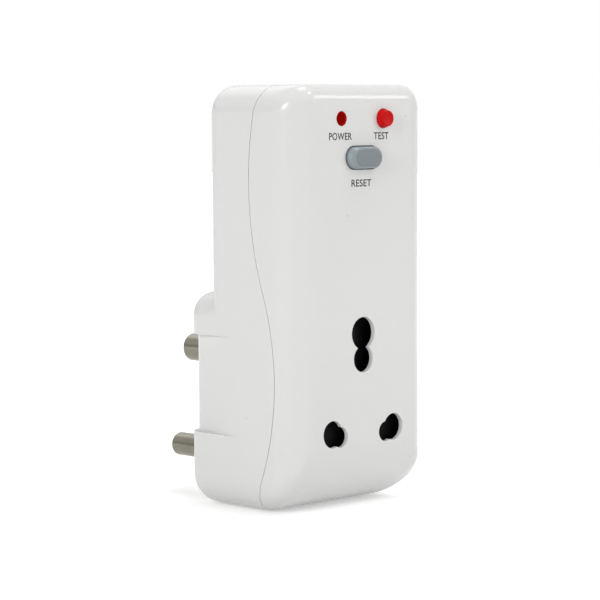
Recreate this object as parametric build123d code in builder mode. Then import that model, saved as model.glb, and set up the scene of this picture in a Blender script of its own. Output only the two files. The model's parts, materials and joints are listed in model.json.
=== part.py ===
from build123d import *
import math
import os

# A three-pin residual current adapter plug, in millimetres.
# +Z is up, the socket face looks along -Y and the plug pins point along +Y.
# The origin is on the plug block's rear face, midway between the line and neutral pins.

# Case
case_width = 58.0
case_height = 124.0
case_depth = 37.0
case_wall = 2.2
top_corner_radius = 8.2
bottom_corner_radius = 9.4
least_corner_radius = 1.6
front_top_round = 4.2
front_side_round = 8.9
front_bottom_round = 20.0
back_round = 6.5

# Plug block on the back of the case
plug_rise = 8.9
plug_height = 63.4
plug_corner_radius = 7.4
plug_round = 6.5
plug_wall = 2.5
pin_line_height = 14.25

# Finger grips, one scooped out of each side
grip_length = 22.0
grip_depth = 5.5
grip_turn_depth = 2.9
grip_round = 5.1
grip_bottom = 7.6
grip_top_drop = 12.5
grip_wall = 2.0

# Parting line: two tangent arcs, given by where each bows most
seam_gap = 0.2
seam_upper_drop_share = 0.2241935
seam_upper_depth = 17.7
seam_lower_height_share = 0.3080645
seam_lower_depth = 7.6
seam_upper_share = 0.555
lip_gap = 0.15
lip_thickness = 1.1
lip_height = 1.6
lip_root = 2.4

# Plug pins
pin_spacing = 25.4
earth_pin_offset = 28.6
pin_radius = 3.53
pin_length = 21.0
earth_pin_radius = 4.35
earth_pin_length = 28.6
pin_tip_round = 1.1
pin_shoulder_width = 0.25
pin_collar_width = 1.7
pin_collar_thickness = 2.5
pin_tail_radius = 2.2
pin_head_width = 1.0
pin_head_thickness = 1.2
clamp_thickness = 3.0
clamp_half_width = 18.5
clamp_bottom = -7.5
clamp_top_gap = 7.65
clamp_lower_screw_height = 6.0
clamp_upper_screw_drop = 12.05
clamp_upper_screw_across = 6.6
strap_thickness = 1.2
strap_width = 5.0
strap_top = 45.2

# Socket holes for both sizes of plug
socket_line_height = 23.1
small_socket_drop = 1.1
small_pin_spacing = 19.05
small_earth_offset = 22.2
small_pin_radius = 2.54
pin_hole_clearance = 0.45
hole_wall = 1.4
hole_pocket_margin = 1.2

# Socket insert, its contacts and shutter
insert_front_depth = 6.3
insert_plate_thickness = 3.0
insert_plate_half_width = 24.6
insert_bottom = 2.0
insert_top = 45.0
insert_block_depth = 16.0
insert_block_half_width = 20.1
insert_block_top = 16.0
insert_earth_half_width = 7.0
insert_earth_top = 43.8
insert_upper_screw_across = 17.0
insert_upper_screw_height = 41.0
insert_lower_screw_across = 22.4
insert_lower_screw_height = 10.5
contact_thickness = 0.7
contact_depth = 12.5
contact_setback = 1.1
contact_pinch = 0.04
contact_play = 0.25
contact_reach = 1.0
contact_bar_lap = 4.2
shutter_gap = 0.3
shutter_thickness = 1.5
shutter_setback = 1.6
shutter_pivot_height = 18.5
shutter_hub_radius = 4.0
shutter_pivot_radius = 1.5
shutter_collar_radius = 2.4
shutter_leaf_overlap = 0.5
shutter_spring_width = 1.1
shaft_gap = 0.05
ramp_drop = 2.3

# Controls on the front
control_drop = 9.8
control_spacing = 17.4
reset_drop = 21.1
running_gap = 0.1
button_gap = 0.3
flange_thickness = 1.0
flange_width = 1.2
test_radius = 2.35
test_collar_radius = 2.75
test_collar_height = 0.6
test_height = 2.15
test_edge_round = 0.35
test_stem_radius = 1.5
test_travel = 1.2
reset_length = 13.8
reset_width = 6.4
reset_button_height = 2.65
reset_edge_round = 1.75
reset_stem_radius = 2.0
reset_travel = 2.4
lamp_radius = 2.1
lamp_recess = 0.1
lamp_dome = 0.45
led_radius = 2.5
led_length = 6.0
led_flange = 0.5
led_lead_radius = 0.3
led_lead_spacing = 2.54
guide_depth = 10.9
guide_thickness = 1.6
guide_half_width = 15.5
guide_margin = 5.2
guide_post_radius = 2.4
guide_post_across = 12.8
guide_post_rise = 3.35
button_spring_width = 0.6

# Screws
case_screw_radius = 1.5
case_screw_head_radius = 2.6
case_screw_head_height = 2.2
case_screw_length = 16.0
case_post_radius = 4.0
case_boss_radius = 3.2
case_post_end_depth = 24.0
case_screw_seat = 6.0
case_screw_across = 21.4
upper_screw_drop = 7.3
lower_screw_rise = 8.7
well_gap = 0.3
screw_clearance = 0.2
pilot_gap = 0.05
pilot_floor = 2.0
small_screw_radius = 1.1
small_screw_head_radius = 2.2
small_screw_head_height = 1.5
recess_width_share = 0.22
recess_length_share = 1.3
recess_depth_share = 0.45

# Circuit board and what stands on it
board_front_depth = 15.6
board_thickness = 1.6
board_half_width = 24.0
board_bottom_rise = 1.85
board_top_gap = 5.25
board_post_clearance = 0.6
standoff_radius = 2.6
standoff_across = 21.0
lower_standoff_rise = 3.5
upper_standoff_drop = 2.5
toroid_radius = 9.0
toroid_bore = 5.0
toroid_height = 9.0
toroid_rise = 1.5
toroid_depth = 25.5
toroid_foot_width = 10.0
toroid_edge_round = 1.5
chip_across = 19.0
chip_share = 0.274
chip_size = (6.4, 3.4, 9.6)
thyristor_across = 20.4
thyristor_share = 0.698
thyristor_size = (4.6, 8.0, 4.2)
test_switch_size = (6.0, 3.2, 3.6)
test_switch_gap = 0.1
capacitor_across = 19.6
capacitor_share = 0.491
capacitor_radius = 3.8
capacitor_length = 10.0
varistor_across = 19.4
varistor_share = 0.198
varistor_radius = 4.2
varistor_thickness = 3.4
varistor_stand_off = 1.4
varistor_leg_radius = 0.4
varistor_leg_spacing = 5.0
resistor_across = 19.4
resistor_share = 0.443
resistor_radius = 1.6
resistor_length = 7.0
resistor_stand_off = 0.8
resistor_leg_radius = 0.35
resistor_drop_radius = 0.3
resistor_leg_spacing = 9.2
diode_count = 4
diode_pitch = 3.2
diode_share = 0.56535
diode_size = (2.2, 2.2, 4.8)

# Contact mechanism behind the reset button
bar_thickness = 1.2
bar_width = 3.0
supply_bar_spacing = 4.4
supply_bar_rise = 2.4
supply_bar_depth = 17.4
supply_bar_overlap = 1.2
feed_drop = 0.75
load_bar_out_drop = 12.65
load_bar_back_rise = 0.35
load_bar_step = 2.6
pole_spacing = 20.0
contact_pitch = 8.4
tip_radius = 1.4
tip_thickness = 0.8
tip_gap = 0.05
pad_depth = 30.6
bridge_thickness = 0.8
bridge_width = 3.4
bridge_half_length = 5.6
carriage_half_width = 13.0
carriage_half_height = 3.0
carriage_thickness = 5.0
latch_thickness = 0.8
latch_half_length = 7.0
latch_half_height = 2.5
latch_travel = 2.0
latch_neck_radius = 1.3
latch_gap = 0.05
stem_head_thickness = 0.8
base_wall = 1.5
base_side_wall = 2.4
base_window_half_width = 13.6
base_window_half_height = 7.6
break_spring_radius = 1.3
break_spring_bore = 0.8

# Trip coil
coil_radius = 4.6
coil_length = 9.0
coil_case_gap = 1.6
coil_bore = 1.3
coil_flange = 1.0
coil_winding_radius = 4.1
coil_core_radius = 2.2
plunger_radius = 1.1
plunger_rod_radius = 0.8
plunger_spring_bore = 0.45
plunger_gap = 0.3
coil_foot_width = 5.0

cut = 1.0

# Planes and heights worked out from the case
half_width = case_width / 2
front_y = -(case_depth + plug_rise)
back_y = -plug_rise
face_y = front_y + case_wall
case_bottom = -pin_line_height
case_top = case_bottom + case_height
plug_top = case_bottom + plug_height
socket_z = case_bottom + socket_line_height
small_socket_z = socket_z - small_socket_drop
earth_z = socket_z + earth_pin_offset
small_earth_z = small_socket_z + small_earth_offset
control_z = case_top - control_drop
reset_z = case_top - reset_drop
grip_top = plug_top - grip_top_drop
grip_height = grip_top - grip_bottom
clamp_top = plug_top - clamp_top_gap
clamp_upper_screw_height = plug_top - clamp_upper_screw_drop
board_bottom = plug_top + board_bottom_rise
board_top = case_top - board_top_gap
board_height = board_top - board_bottom
lower_standoff_z = board_bottom + lower_standoff_rise
upper_standoff_z = board_top - upper_standoff_drop
toroid_bottom = board_bottom + toroid_rise
chip_z = board_bottom + board_height * chip_share
thyristor_z = board_bottom + board_height * thyristor_share
capacitor_z = board_bottom + board_height * capacitor_share
varistor_z = board_bottom + board_height * varistor_share
resistor_z = board_bottom + board_height * resistor_share


def cross_plane(y):
    """The upright plane across the case at this depth, seen from the front."""
    return Plane.XZ.offset(-y)


def span_box(x_span, y_span, z_span, mode=Mode.ADD):
    """Adds a box between two places along each axis."""
    spans = (x_span, y_span, z_span)
    middle = tuple((low + high) / 2 for low, high in spans)
    with Locations(middle):
        Box(*(abs(high - low) for low, high in spans), mode=mode)


def rod(x, z, radius, y_span, mode=Mode.ADD):
    """Adds a cylinder that runs from front to back."""
    with Locations((x, sum(y_span) / 2, z)):
        Cylinder(radius, abs(y_span[1] - y_span[0]), rotation=(90, 0, 0), mode=mode)


def side_rod(y, z, radius, x_span, mode=Mode.ADD):
    """Adds a cylinder that runs from side to side."""
    with Locations((sum(x_span) / 2, y, z)):
        Cylinder(radius, abs(x_span[1] - x_span[0]), rotation=(0, 90, 0), mode=mode)


def bar(points, across):
    """Adds a square-cornered bar through the points; across is its half size on each axis."""
    for start, end in zip(points, points[1:]):
        spans = []
        for low, high, half in zip(start, end, across):
            spans.append((min(low, high) - half, max(low, high) + half))
        span_box(*spans)


def screw(x, z, seat_y, radius, head_radius, head_height, length):
    """Adds a cross-recess screw whose head stands on the rear side of its seat."""
    rod(x, z, radius, (seat_y - length, seat_y))
    rod(x, z, head_radius, (seat_y, seat_y + head_height))
    arm = head_radius * recess_length_share / 2
    slot = head_radius * recess_width_share / 2
    floor_y = seat_y + head_height * (1 - recess_depth_share)
    top_y = seat_y + head_height + cut
    span_box((x - arm, x + arm), (floor_y, top_y), (z - slot, z + slot), Mode.SUBTRACT)
    span_box((x - slot, x + slot), (floor_y, top_y), (z - arm, z + arm), Mode.SUBTRACT)


def drawn_in(round_radius, depth):
    """How far an edge rounding has drawn in at this depth behind the front face."""
    if depth >= round_radius:
        return 0
    return round_radius - math.sqrt(round_radius**2 - (round_radius - depth) ** 2)


def case_outline(y, depth, inset):
    """A sketch at y of the case's outline at a depth behind the front, drawn in by the inset."""
    side_in = drawn_in(front_side_round - inset, depth)
    top_in = drawn_in(front_top_round - inset, depth)
    bottom_in = drawn_in(front_bottom_round - inset, depth)
    side = half_width - inset - side_in
    top = case_top - inset - top_in
    bottom = case_bottom + inset + bottom_in
    top_radius = max(top_corner_radius - inset - (top_in + side_in) / 2, least_corner_radius)
    bottom_radius = max(
        bottom_corner_radius - inset - (bottom_in + side_in) / 2, least_corner_radius
    )
    with BuildSketch(cross_plane(y)) as outline:
        with BuildLine():
            FilletPolyline(
                (-side, bottom),
                (side, bottom),
                (side, top),
                (-side, top),
                radius=[bottom_radius, bottom_radius, top_radius, top_radius],
                close=True,
            )
        make_face()
    return outline.sketch


def round_depths(near, far):
    """Depths of the sections that follow the edge roundings between two depths."""
    steps = 4
    return [near + (far - near) * (1 - math.cos(math.pi * step / steps / 2)) for step in range(steps + 1)]


def case_form(inset):
    """The whole case as a solid, drawn in by the inset on every side."""
    start_y = front_y + inset
    stops = [0, front_top_round - inset, front_side_round - inset, front_bottom_round - inset]
    with BuildPart() as form:
        extrude(
            case_outline(back_y - inset, case_depth, inset),
            amount=case_depth - front_bottom_round - inset,
        )
        fillet(form.faces().sort_by(Axis.Y)[-1].edges(), back_round - inset)
        for near, far in zip(stops, stops[1:]):
            loft([case_outline(start_y + depth, depth, inset) for depth in round_depths(near, far)])
    return form


def plug_form(inset):
    """The plug block as a solid that runs into the case, drawn in by the inset."""
    side = half_width - inset
    bottom = case_bottom + inset
    top = plug_top - inset
    low_radius = bottom_corner_radius - inset
    high_radius = plug_corner_radius - inset
    with BuildPart() as form:
        with BuildSketch(cross_plane(-inset)):
            with BuildLine():
                FilletPolyline(
                    (-side, bottom),
                    (side, bottom),
                    (side, top),
                    (-side, top),
                    radius=[low_radius, low_radius, high_radius, high_radius],
                    close=True,
                )
            make_face()
        extrude(amount=plug_rise + back_round)
        fillet(form.faces().sort_by(Axis.Y)[-1].edges(), plug_round - inset)
    return form


# The parting line's two arcs, in the side view
seam_upper_z = case_top - case_height * seam_upper_drop_share
seam_lower_z = case_bottom + case_height * seam_lower_height_share
seam_rise = seam_upper_depth - seam_lower_depth
seam_run = seam_upper_z - seam_lower_z
seam_radii = (seam_rise**2 + seam_run**2) / (2 * seam_rise)
seam_upper_radius = seam_radii * seam_upper_share
seam_lower_radius = seam_radii - seam_upper_radius
seam_upper_centre = front_y + seam_upper_depth - seam_upper_radius
seam_lower_centre = front_y + seam_lower_depth + seam_lower_radius
seam_join_z = seam_upper_z - seam_run * seam_upper_share


def seam_y(z):
    """Depth of the parting line at a height."""
    if z >= seam_join_z:
        return seam_upper_centre + math.sqrt(seam_upper_radius**2 - (z - seam_upper_z) ** 2)
    return seam_lower_centre - math.sqrt(seam_lower_radius**2 - (z - seam_lower_z) ** 2)


def seam_curve(shift):
    """Draws the parting line in the side view, moved back by the shift."""
    heights = [case_top + cut, seam_upper_z, seam_join_z, seam_lower_z, case_bottom - cut]
    top, high, join, low, bottom = [(seam_y(z) + shift, z) for z in heights]
    ThreePointArc(top, high, join)
    ThreePointArc(join, low, bottom)
    return top, bottom


def seam_zone(shift, end_y):
    """Everything between the shifted parting line and a plane in front of or behind it."""
    with BuildPart() as zone:
        with BuildSketch(Plane.YZ):
            with BuildLine():
                top, bottom = seam_curve(shift)
                Polyline(bottom, (end_y, bottom[1]), (end_y, top[1]), top)
            make_face()
        extrude(amount=half_width + cut, both=True)
    return zone


def seam_band(front_shift, back_shift):
    """A slice that follows the parting line between two shifts."""
    with BuildPart() as band:
        with BuildSketch(Plane.YZ):
            with BuildLine():
                front_top, front_bottom = seam_curve(front_shift)
                back_top, back_bottom = seam_curve(back_shift)
                Line(front_top, back_top)
                Line(front_bottom, back_bottom)
            make_face()
        extrude(amount=half_width + cut, both=True)
    return band


# Places of the screws that hold the two shells together
case_screws_at = [
    (side * case_screw_across, z)
    for side in (-1, 1)
    for z in (case_top - upper_screw_drop, case_bottom + lower_screw_rise)
]
post_end_y = -case_post_end_depth
seat_y = post_end_y + case_screw_seat
boss_end_y = post_end_y - seam_gap

# Places of the smaller screws
insert_front_y = front_y + insert_front_depth
insert_back_y = insert_front_y + insert_plate_thickness
insert_screws_at = [
    (side * across, height)
    for side in (-1, 1)
    for across, height in (
        (insert_upper_screw_across, insert_upper_screw_height),
        (insert_lower_screw_across, insert_lower_screw_height),
    )
]
guide_front_y = front_y + guide_depth
guide_back_y = guide_front_y + guide_thickness
guide_screws_at = [(side * guide_post_across, reset_z + guide_post_rise) for side in (-1, 1)]
board_front_y = -board_front_depth
board_back_y = board_front_y + board_thickness
board_screws_at = [
    (-standoff_across, lower_standoff_z),
    (standoff_across, lower_standoff_z),
    (0, upper_standoff_z),
]
clamp_screws_at = [
    (0, clamp_lower_screw_height),
    (-clamp_upper_screw_across, clamp_upper_screw_height),
    (clamp_upper_screw_across, clamp_upper_screw_height),
]
wall_y = -plug_wall
collar_y = wall_y - pin_collar_thickness
clamp_y = collar_y - clamp_thickness
strap_y = clamp_y - strap_thickness

# Holes that the plugs go into: place and radius of each circle
earth_holes = [
    (0, earth_z, earth_pin_radius + pin_hole_clearance),
    (0, small_earth_z, pin_radius + pin_hole_clearance),
]
side_holes = [
    (side * spacing / 2, height, radius + pin_hole_clearance)
    for side in (-1, 1)
    for spacing, height, radius in (
        (pin_spacing, socket_z, pin_radius),
        (small_pin_spacing, small_socket_z, small_pin_radius),
    )
]
lamp_x = -control_spacing / 2
test_x = control_spacing / 2
reset_hole_length = reset_length + 2 * button_gap
reset_hole_width = reset_width + 2 * button_gap
flange_y = face_y + running_gap
flange_back_y = flange_y + flange_thickness

outer_case = case_form(0)
outer_plug = plug_form(0)
inner_case = case_form(case_wall)
inner_plug = plug_form(plug_wall)

with BuildPart() as body:
    add(outer_case.part)
    add(outer_plug.part)

# Front shell: face, side walls as far as the parting line, bosses and posts
with BuildPart() as front_shell:
    add(body.part)
    add(inner_case.part, mode=Mode.SUBTRACT)
    for x, z in case_screws_at:
        rod(x, z, case_boss_radius, (face_y - case_wall, boss_end_y))
    for x, z in insert_screws_at:
        rod(x, z, small_screw_head_radius, (face_y - case_wall, insert_front_y))
    for x, z in guide_screws_at:
        rod(x, z, guide_post_radius, (face_y - case_wall, guide_front_y))
    add(body.part, mode=Mode.INTERSECT)
    add(seam_zone(-seam_gap / 2, front_y - cut).part, mode=Mode.INTERSECT)
    for x, z in case_screws_at:
        pilot = case_screw_radius + pilot_gap
        rod(x, z, pilot, (seat_y - case_screw_length - cut, boss_end_y + cut), Mode.SUBTRACT)
    for x, z in insert_screws_at + guide_screws_at:
        pilot = small_screw_radius + pilot_gap
        rod(x, z, pilot, (front_y + pilot_floor, guide_front_y + cut), Mode.SUBTRACT)
    for x, z, radius in earth_holes + side_holes:
        rod(x, z, radius, (front_y - cut, face_y + cut), Mode.SUBTRACT)
        pocket_span = (front_y + hole_wall, face_y + cut)
        rod(x, z, radius + hole_pocket_margin, pocket_span, Mode.SUBTRACT)
    rod(test_x, control_z, test_collar_radius + button_gap / 2, (front_y - cut, face_y + cut), Mode.SUBTRACT)
    rod(lamp_x, control_z, lamp_radius + running_gap, (front_y - cut, face_y + cut), Mode.SUBTRACT)
    with BuildSketch(cross_plane(face_y + cut)):
        with Locations((0, reset_z)):
            SlotOverall(reset_hole_length, reset_hole_width)
    extrude(amount=case_wall + 2 * cut, mode=Mode.SUBTRACT)

# Rear shell: back wall, plug block with its grips, screw posts, standoffs and lip
with BuildPart() as lip:
    add(case_form(case_wall + lip_gap).part)
    add(case_form(case_wall + lip_gap + lip_thickness).part, mode=Mode.SUBTRACT)
    add(seam_band(-lip_height, lip_root).part, mode=Mode.INTERSECT)

with BuildPart() as lip_foot:
    add(case_form(case_wall / 2).part)
    add(case_form(case_wall + lip_gap + lip_thickness).part, mode=Mode.SUBTRACT)
    add(seam_band(seam_gap / 2, lip_root).part, mode=Mode.INTERSECT)


with BuildPart() as grip_pads:
    with BuildSketch(Plane.XY.offset(grip_bottom - grip_wall)):
        with BuildLine():
            Polyline(
                (half_width - case_wall / 2, -grip_length),
                (half_width - case_wall, -grip_length),
                (half_width - grip_wall - grip_depth, 0),
                (half_width - case_wall / 2, 0),
                close=True,
            )
        make_face()
    extrude(amount=grip_height + 2 * grip_wall)
    mirror(about=Plane.YZ)
    add(body.part, mode=Mode.INTERSECT)

with BuildPart() as rear_shell:
    add(body.part)
    add(inner_case.part, mode=Mode.SUBTRACT)
    add(inner_plug.part, mode=Mode.SUBTRACT)
    add(grip_pads.part)
    for x, z in case_screws_at:
        rod(x, z, case_post_radius, (post_end_y, back_y - case_wall / 2))
        if z < plug_top:
            rod(x, z, case_post_radius, (post_end_y, -plug_wall / 2))
    for x, z in board_screws_at:
        rod(x, z, standoff_radius, (board_back_y, back_y - case_wall / 2))
    add(body.part, mode=Mode.INTERSECT)
    add(seam_zone(seam_gap / 2, cut).part, mode=Mode.INTERSECT)
    add(lip.part)
    add(lip_foot.part)
    for x, z in clamp_screws_at:
        rod(x, z, small_screw_head_radius, (collar_y, wall_y))
    for x, z in case_screws_at:
        rod(x, z, case_screw_radius + screw_clearance, (post_end_y - cut, cut), Mode.SUBTRACT)
        rod(x, z, case_screw_head_radius + well_gap, (seat_y, cut), Mode.SUBTRACT)
    for x, z in board_screws_at:
        pilot = small_screw_radius + pilot_gap
        rod(x, z, pilot, (board_back_y - cut, back_y - case_wall), Mode.SUBTRACT)
    for x, z in clamp_screws_at:
        pilot = small_screw_radius + pilot_gap
        rod(x, z, pilot, (collar_y - cut, wall_y), Mode.SUBTRACT)
    for x in (-pin_spacing / 2, pin_spacing / 2):
        rod(x, 0, pin_radius + pin_shoulder_width, (wall_y - cut, cut), Mode.SUBTRACT)
    earth_seat_radius = earth_pin_radius + pin_shoulder_width
    rod(0, earth_pin_offset, earth_seat_radius, (wall_y - cut, cut), Mode.SUBTRACT)
    with BuildSketch(Plane.XY.offset(grip_bottom)) as scoop:
        with BuildLine():
            turn_x = half_width - grip_turn_depth
            end_x = turn_x - grip_round
            bow = grip_round * math.sqrt(1 / 2)
            Line((half_width, -grip_length), (turn_x, -grip_round))
            ThreePointArc((turn_x, -grip_round), (end_x + bow, bow - grip_round), (end_x, 0))
            Polyline(
                (end_x, 0),
                (end_x, cut),
                (half_width + cut, cut),
                (half_width + cut, -grip_length),
                (half_width, -grip_length),
            )
        make_face()
        mirror(about=Plane.YZ)
    extrude(amount=grip_height, mode=Mode.SUBTRACT)

with BuildPart() as case_screws:
    for x, z in case_screws_at:
        screw(
            x,
            z,
            seat_y,
            case_screw_radius,
            case_screw_head_radius,
            case_screw_head_height,
            case_screw_length,
        )


# Plug pins, each turned with a collar and a riveted tail
def plug_pin(x, z, radius, length):
    """A solid pin from its rounded tip to the riveted head on its tail."""
    collar = radius + pin_collar_width
    head = pin_tail_radius + pin_head_width
    with BuildPart() as pin:
        rod(x, z, radius, (wall_y, length))
        fillet(pin.faces().sort_by(Axis.Y)[-1].edges(), pin_tip_round)
        rod(x, z, radius + pin_shoulder_width, (wall_y, 0))
        rod(x, z, collar, (collar_y, wall_y))
        rod(x, z, pin_tail_radius, (strap_y, collar_y))
        rod(x, z, head, (strap_y - pin_head_thickness, strap_y))
    return pin


line_pin = plug_pin(pin_spacing / 2, 0, pin_radius, pin_length)
neutral_pin = plug_pin(-pin_spacing / 2, 0, pin_radius, pin_length)
earth_pin = plug_pin(0, earth_pin_offset, earth_pin_radius, earth_pin_length)
tails_at = [(-pin_spacing / 2, 0), (pin_spacing / 2, 0), (0, earth_pin_offset)]

with BuildPart() as pin_clamp:
    span_box((-clamp_half_width, clamp_half_width), (clamp_y, collar_y), (clamp_bottom, clamp_top))
    for x, z in tails_at:
        rod(x, z, pin_tail_radius + running_gap, (clamp_y - cut, collar_y + cut), Mode.SUBTRACT)
    for x, z in clamp_screws_at:
        rod(x, z, small_screw_radius + screw_clearance, (clamp_y - cut, collar_y + cut), Mode.SUBTRACT)
    for x, z in case_screws_at:
        rod(x, z, case_post_radius + button_gap, (clamp_y - cut, collar_y + cut), Mode.SUBTRACT)


def forward_screw(x, z, seat, length):
    """Adds a small screw whose head stands on the front side of its seat."""
    rod(x, z, small_screw_radius, (seat, seat + length))
    rod(x, z, small_screw_head_radius, (seat - small_screw_head_height, seat))


with BuildPart() as clamp_screws:
    for x, z in clamp_screws_at:
        forward_screw(x, z, clamp_y, wall_y - clamp_y - pilot_gap)

# Socket insert: a plate across the case with two blocks of contact chambers behind it
leaf_half_gap = pin_radius - contact_pinch
earth_leaf_half_gap = earth_pin_radius - contact_pinch
contact_front_y = insert_front_y + contact_setback
contact_back_y = contact_front_y + contact_depth
block_back_y = insert_front_y + insert_block_depth
chamber_inner_x = small_pin_spacing / 2 - small_pin_radius - contact_reach
chamber_outer_x = pin_spacing / 2 + pin_radius + contact_reach + contact_thickness
leaf_outer_x = chamber_outer_x - contact_play
leaf_inner_x = chamber_inner_x + contact_play
chamber_half_height = leaf_half_gap + contact_thickness
earth_chamber_half_width = earth_leaf_half_gap + contact_thickness
earth_chamber_top = earth_z + earth_pin_radius + contact_reach
earth_chamber_bottom = small_earth_z - pin_radius - contact_reach - contact_thickness
load_bar_x = chamber_outer_x - contact_play + bar_thickness / 2
bar_end_y = contact_back_y - contact_bar_lap
pivot_z = shutter_pivot_height
pivot_front_y = face_y + running_gap

with BuildPart() as socket_insert:
    plate_span = (insert_front_y, insert_back_y)
    span_box(
        (-insert_plate_half_width, insert_plate_half_width), plate_span, (insert_bottom, insert_top)
    )
    block_span = (insert_back_y, block_back_y)
    span_box(
        (-insert_block_half_width, insert_block_half_width),
        block_span,
        (insert_bottom, insert_block_top),
    )
    span_box(
        (-insert_earth_half_width, insert_earth_half_width),
        block_span,
        (insert_block_top, insert_earth_top),
    )
    cut_span = (insert_front_y - cut, block_back_y + cut)
    chamber_span = (insert_front_y - cut, contact_back_y + contact_play)
    for side in (-1, 1):
        span_box(
            (side * chamber_inner_x, side * chamber_outer_x),
            chamber_span,
            (socket_z - chamber_half_height, socket_z + chamber_half_height),
            Mode.SUBTRACT,
        )
        slot_inner_x = side * (load_bar_x - bar_thickness / 2 - contact_play)
        slot_outer_x = side * (load_bar_x + bar_thickness / 2 + contact_play)
        span_box(
            (slot_inner_x, slot_outer_x),
            (bar_end_y - bar_thickness / 2 - contact_play, block_back_y + cut),
            (socket_z - bar_width / 2 - contact_play, socket_z + bar_width / 2 + contact_play),
            Mode.SUBTRACT,
        )
    span_box(
        (-bar_width / 2 - contact_play, bar_width / 2 + contact_play),
        (bar_end_y - bar_thickness / 2 - contact_play, block_back_y + cut),
        (earth_chamber_bottom - bar_thickness - contact_play, earth_z),
        Mode.SUBTRACT,
    )
    span_box(
        (-earth_chamber_half_width, earth_chamber_half_width),
        cut_span,
        (earth_chamber_bottom, earth_chamber_top),
        Mode.SUBTRACT,
    )
    for x, z in insert_screws_at:
        rod(x, z, small_screw_radius + screw_clearance, cut_span, Mode.SUBTRACT)
    rod(0, pivot_z, shutter_pivot_radius, (insert_front_y - cut, insert_back_y), Mode.SUBTRACT)

insert_screw_length = insert_back_y - front_y - pilot_floor - pilot_gap

with BuildPart() as insert_screws:
    for x, z in insert_screws_at:
        rod(x, z, small_screw_radius, (insert_back_y - insert_screw_length, insert_back_y))
        rod(x, z, small_screw_head_radius, (insert_back_y, insert_back_y + small_screw_head_height))


def side_contact(side):
    """A brass channel with one leaf above and one below both sizes of pin."""
    with BuildPart() as contact:
        depth_span = (contact_front_y, contact_back_y)
        leaf_span = (side * leaf_inner_x, side * leaf_outer_x)
        for up in (-1, 1):
            near = socket_z + up * leaf_half_gap
            span_box(leaf_span, depth_span, (near, near + up * contact_thickness))
        web_span = (side * (leaf_outer_x - contact_thickness), side * leaf_outer_x)
        web_half = leaf_half_gap + contact_thickness
        span_box(web_span, depth_span, (socket_z - web_half, socket_z + web_half))
    return contact


line_contact = side_contact(1)
neutral_contact = side_contact(-1)

with BuildPart() as earth_contact:
    depth_span = (contact_front_y, contact_back_y)
    for side in (-1, 1):
        near = side * earth_leaf_half_gap
        span_box(
            (near, near + side * contact_thickness),
            depth_span,
            (earth_chamber_bottom, earth_chamber_top - contact_play),
        )
    web_half = earth_leaf_half_gap + contact_thickness
    span_box(
        (-web_half, web_half),
        depth_span,
        (earth_chamber_bottom, earth_chamber_bottom + contact_thickness),
    )

# Rotary shutter: a leaf over each hole, with a ramp on the one behind the earth hole
ramp_front_y = face_y + shutter_gap
leaf_front_y = ramp_front_y + shutter_setback
leaf_back_y = leaf_front_y + shutter_thickness


def leaf_reach(holes):
    """How far from the pivot a leaf has to reach to cover its holes."""
    reaches = [math.hypot(x, z - pivot_z) + radius for x, z, radius in holes]
    return max(reaches) + shutter_leaf_overlap


def leaf_angles(holes):
    """The two angles, in degrees, between which a leaf covers its holes."""
    angles = []
    for x, z, radius in holes:
        middle = math.degrees(math.atan2(z - pivot_z, x)) % 360
        half = math.degrees(math.asin((radius + shutter_leaf_overlap) / math.hypot(x, z - pivot_z)))
        angles += [middle - half, middle + half]
    return min(angles), max(angles)


def leaf(holes, depth_span):
    """Adds one sector of the shutter over the holes."""
    reach = leaf_reach(holes)
    start, end = (math.radians(angle) for angle in leaf_angles(holes))
    middle = (start + end) / 2
    tips = [
        (reach * math.cos(angle), pivot_z + reach * math.sin(angle)) for angle in (start, middle, end)
    ]
    with BuildSketch(cross_plane(depth_span[1])) as sector:
        with BuildLine():
            Line((0, pivot_z), tips[0])
            ThreePointArc(*tips)
            Line(tips[2], (0, pivot_z))
        make_face()
    extrude(sector.sketch, amount=depth_span[1] - depth_span[0])


with BuildPart() as socket_shutter:
    ramp_span = (ramp_front_y, leaf_back_y)
    leaf_span = (leaf_front_y, leaf_back_y)
    for hole in earth_holes:
        leaf([hole], ramp_span)
    ramp_foot_z = small_earth_z - pin_radius - pin_hole_clearance - shutter_leaf_overlap
    span_box(
        (-half_width, half_width),
        (ramp_front_y - cut, leaf_front_y),
        (pivot_z - half_width, ramp_foot_z),
        Mode.SUBTRACT,
    )
    ramp_half = earth_pin_radius + pin_hole_clearance
    with BuildSketch(Plane.XY.offset(ramp_foot_z)):
        with BuildLine():
            Polyline(
                (-ramp_half, ramp_front_y),
                (ramp_half, ramp_front_y + ramp_drop),
                (half_width, ramp_front_y + ramp_drop),
                (half_width, ramp_front_y - cut),
                (-ramp_half, ramp_front_y - cut),
                close=True,
            )
        make_face()
    extrude(amount=case_height / 2, mode=Mode.SUBTRACT)
    leaf(side_holes[:2], leaf_span)
    leaf(side_holes[2:], leaf_span)
    rod(0, pivot_z, shutter_hub_radius, leaf_span)
    bore = shutter_pivot_radius + shaft_gap
    rod(0, pivot_z, bore, (leaf_front_y - cut, leaf_back_y + cut), Mode.SUBTRACT)

with BuildPart() as shutter_pivot:
    rod(0, pivot_z, shutter_pivot_radius, (pivot_front_y, insert_back_y))
    rod(0, pivot_z, shutter_collar_radius, (leaf_back_y + shaft_gap, insert_front_y))

with BuildPart() as shutter_spring:
    bore = shutter_pivot_radius + running_gap
    spring_span = (face_y + running_gap, leaf_front_y - shaft_gap)
    rod(0, pivot_z, bore + shutter_spring_width, spring_span)
    rod(0, pivot_z, bore, (spring_span[0] - cut, spring_span[1] + cut), Mode.SUBTRACT)

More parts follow.
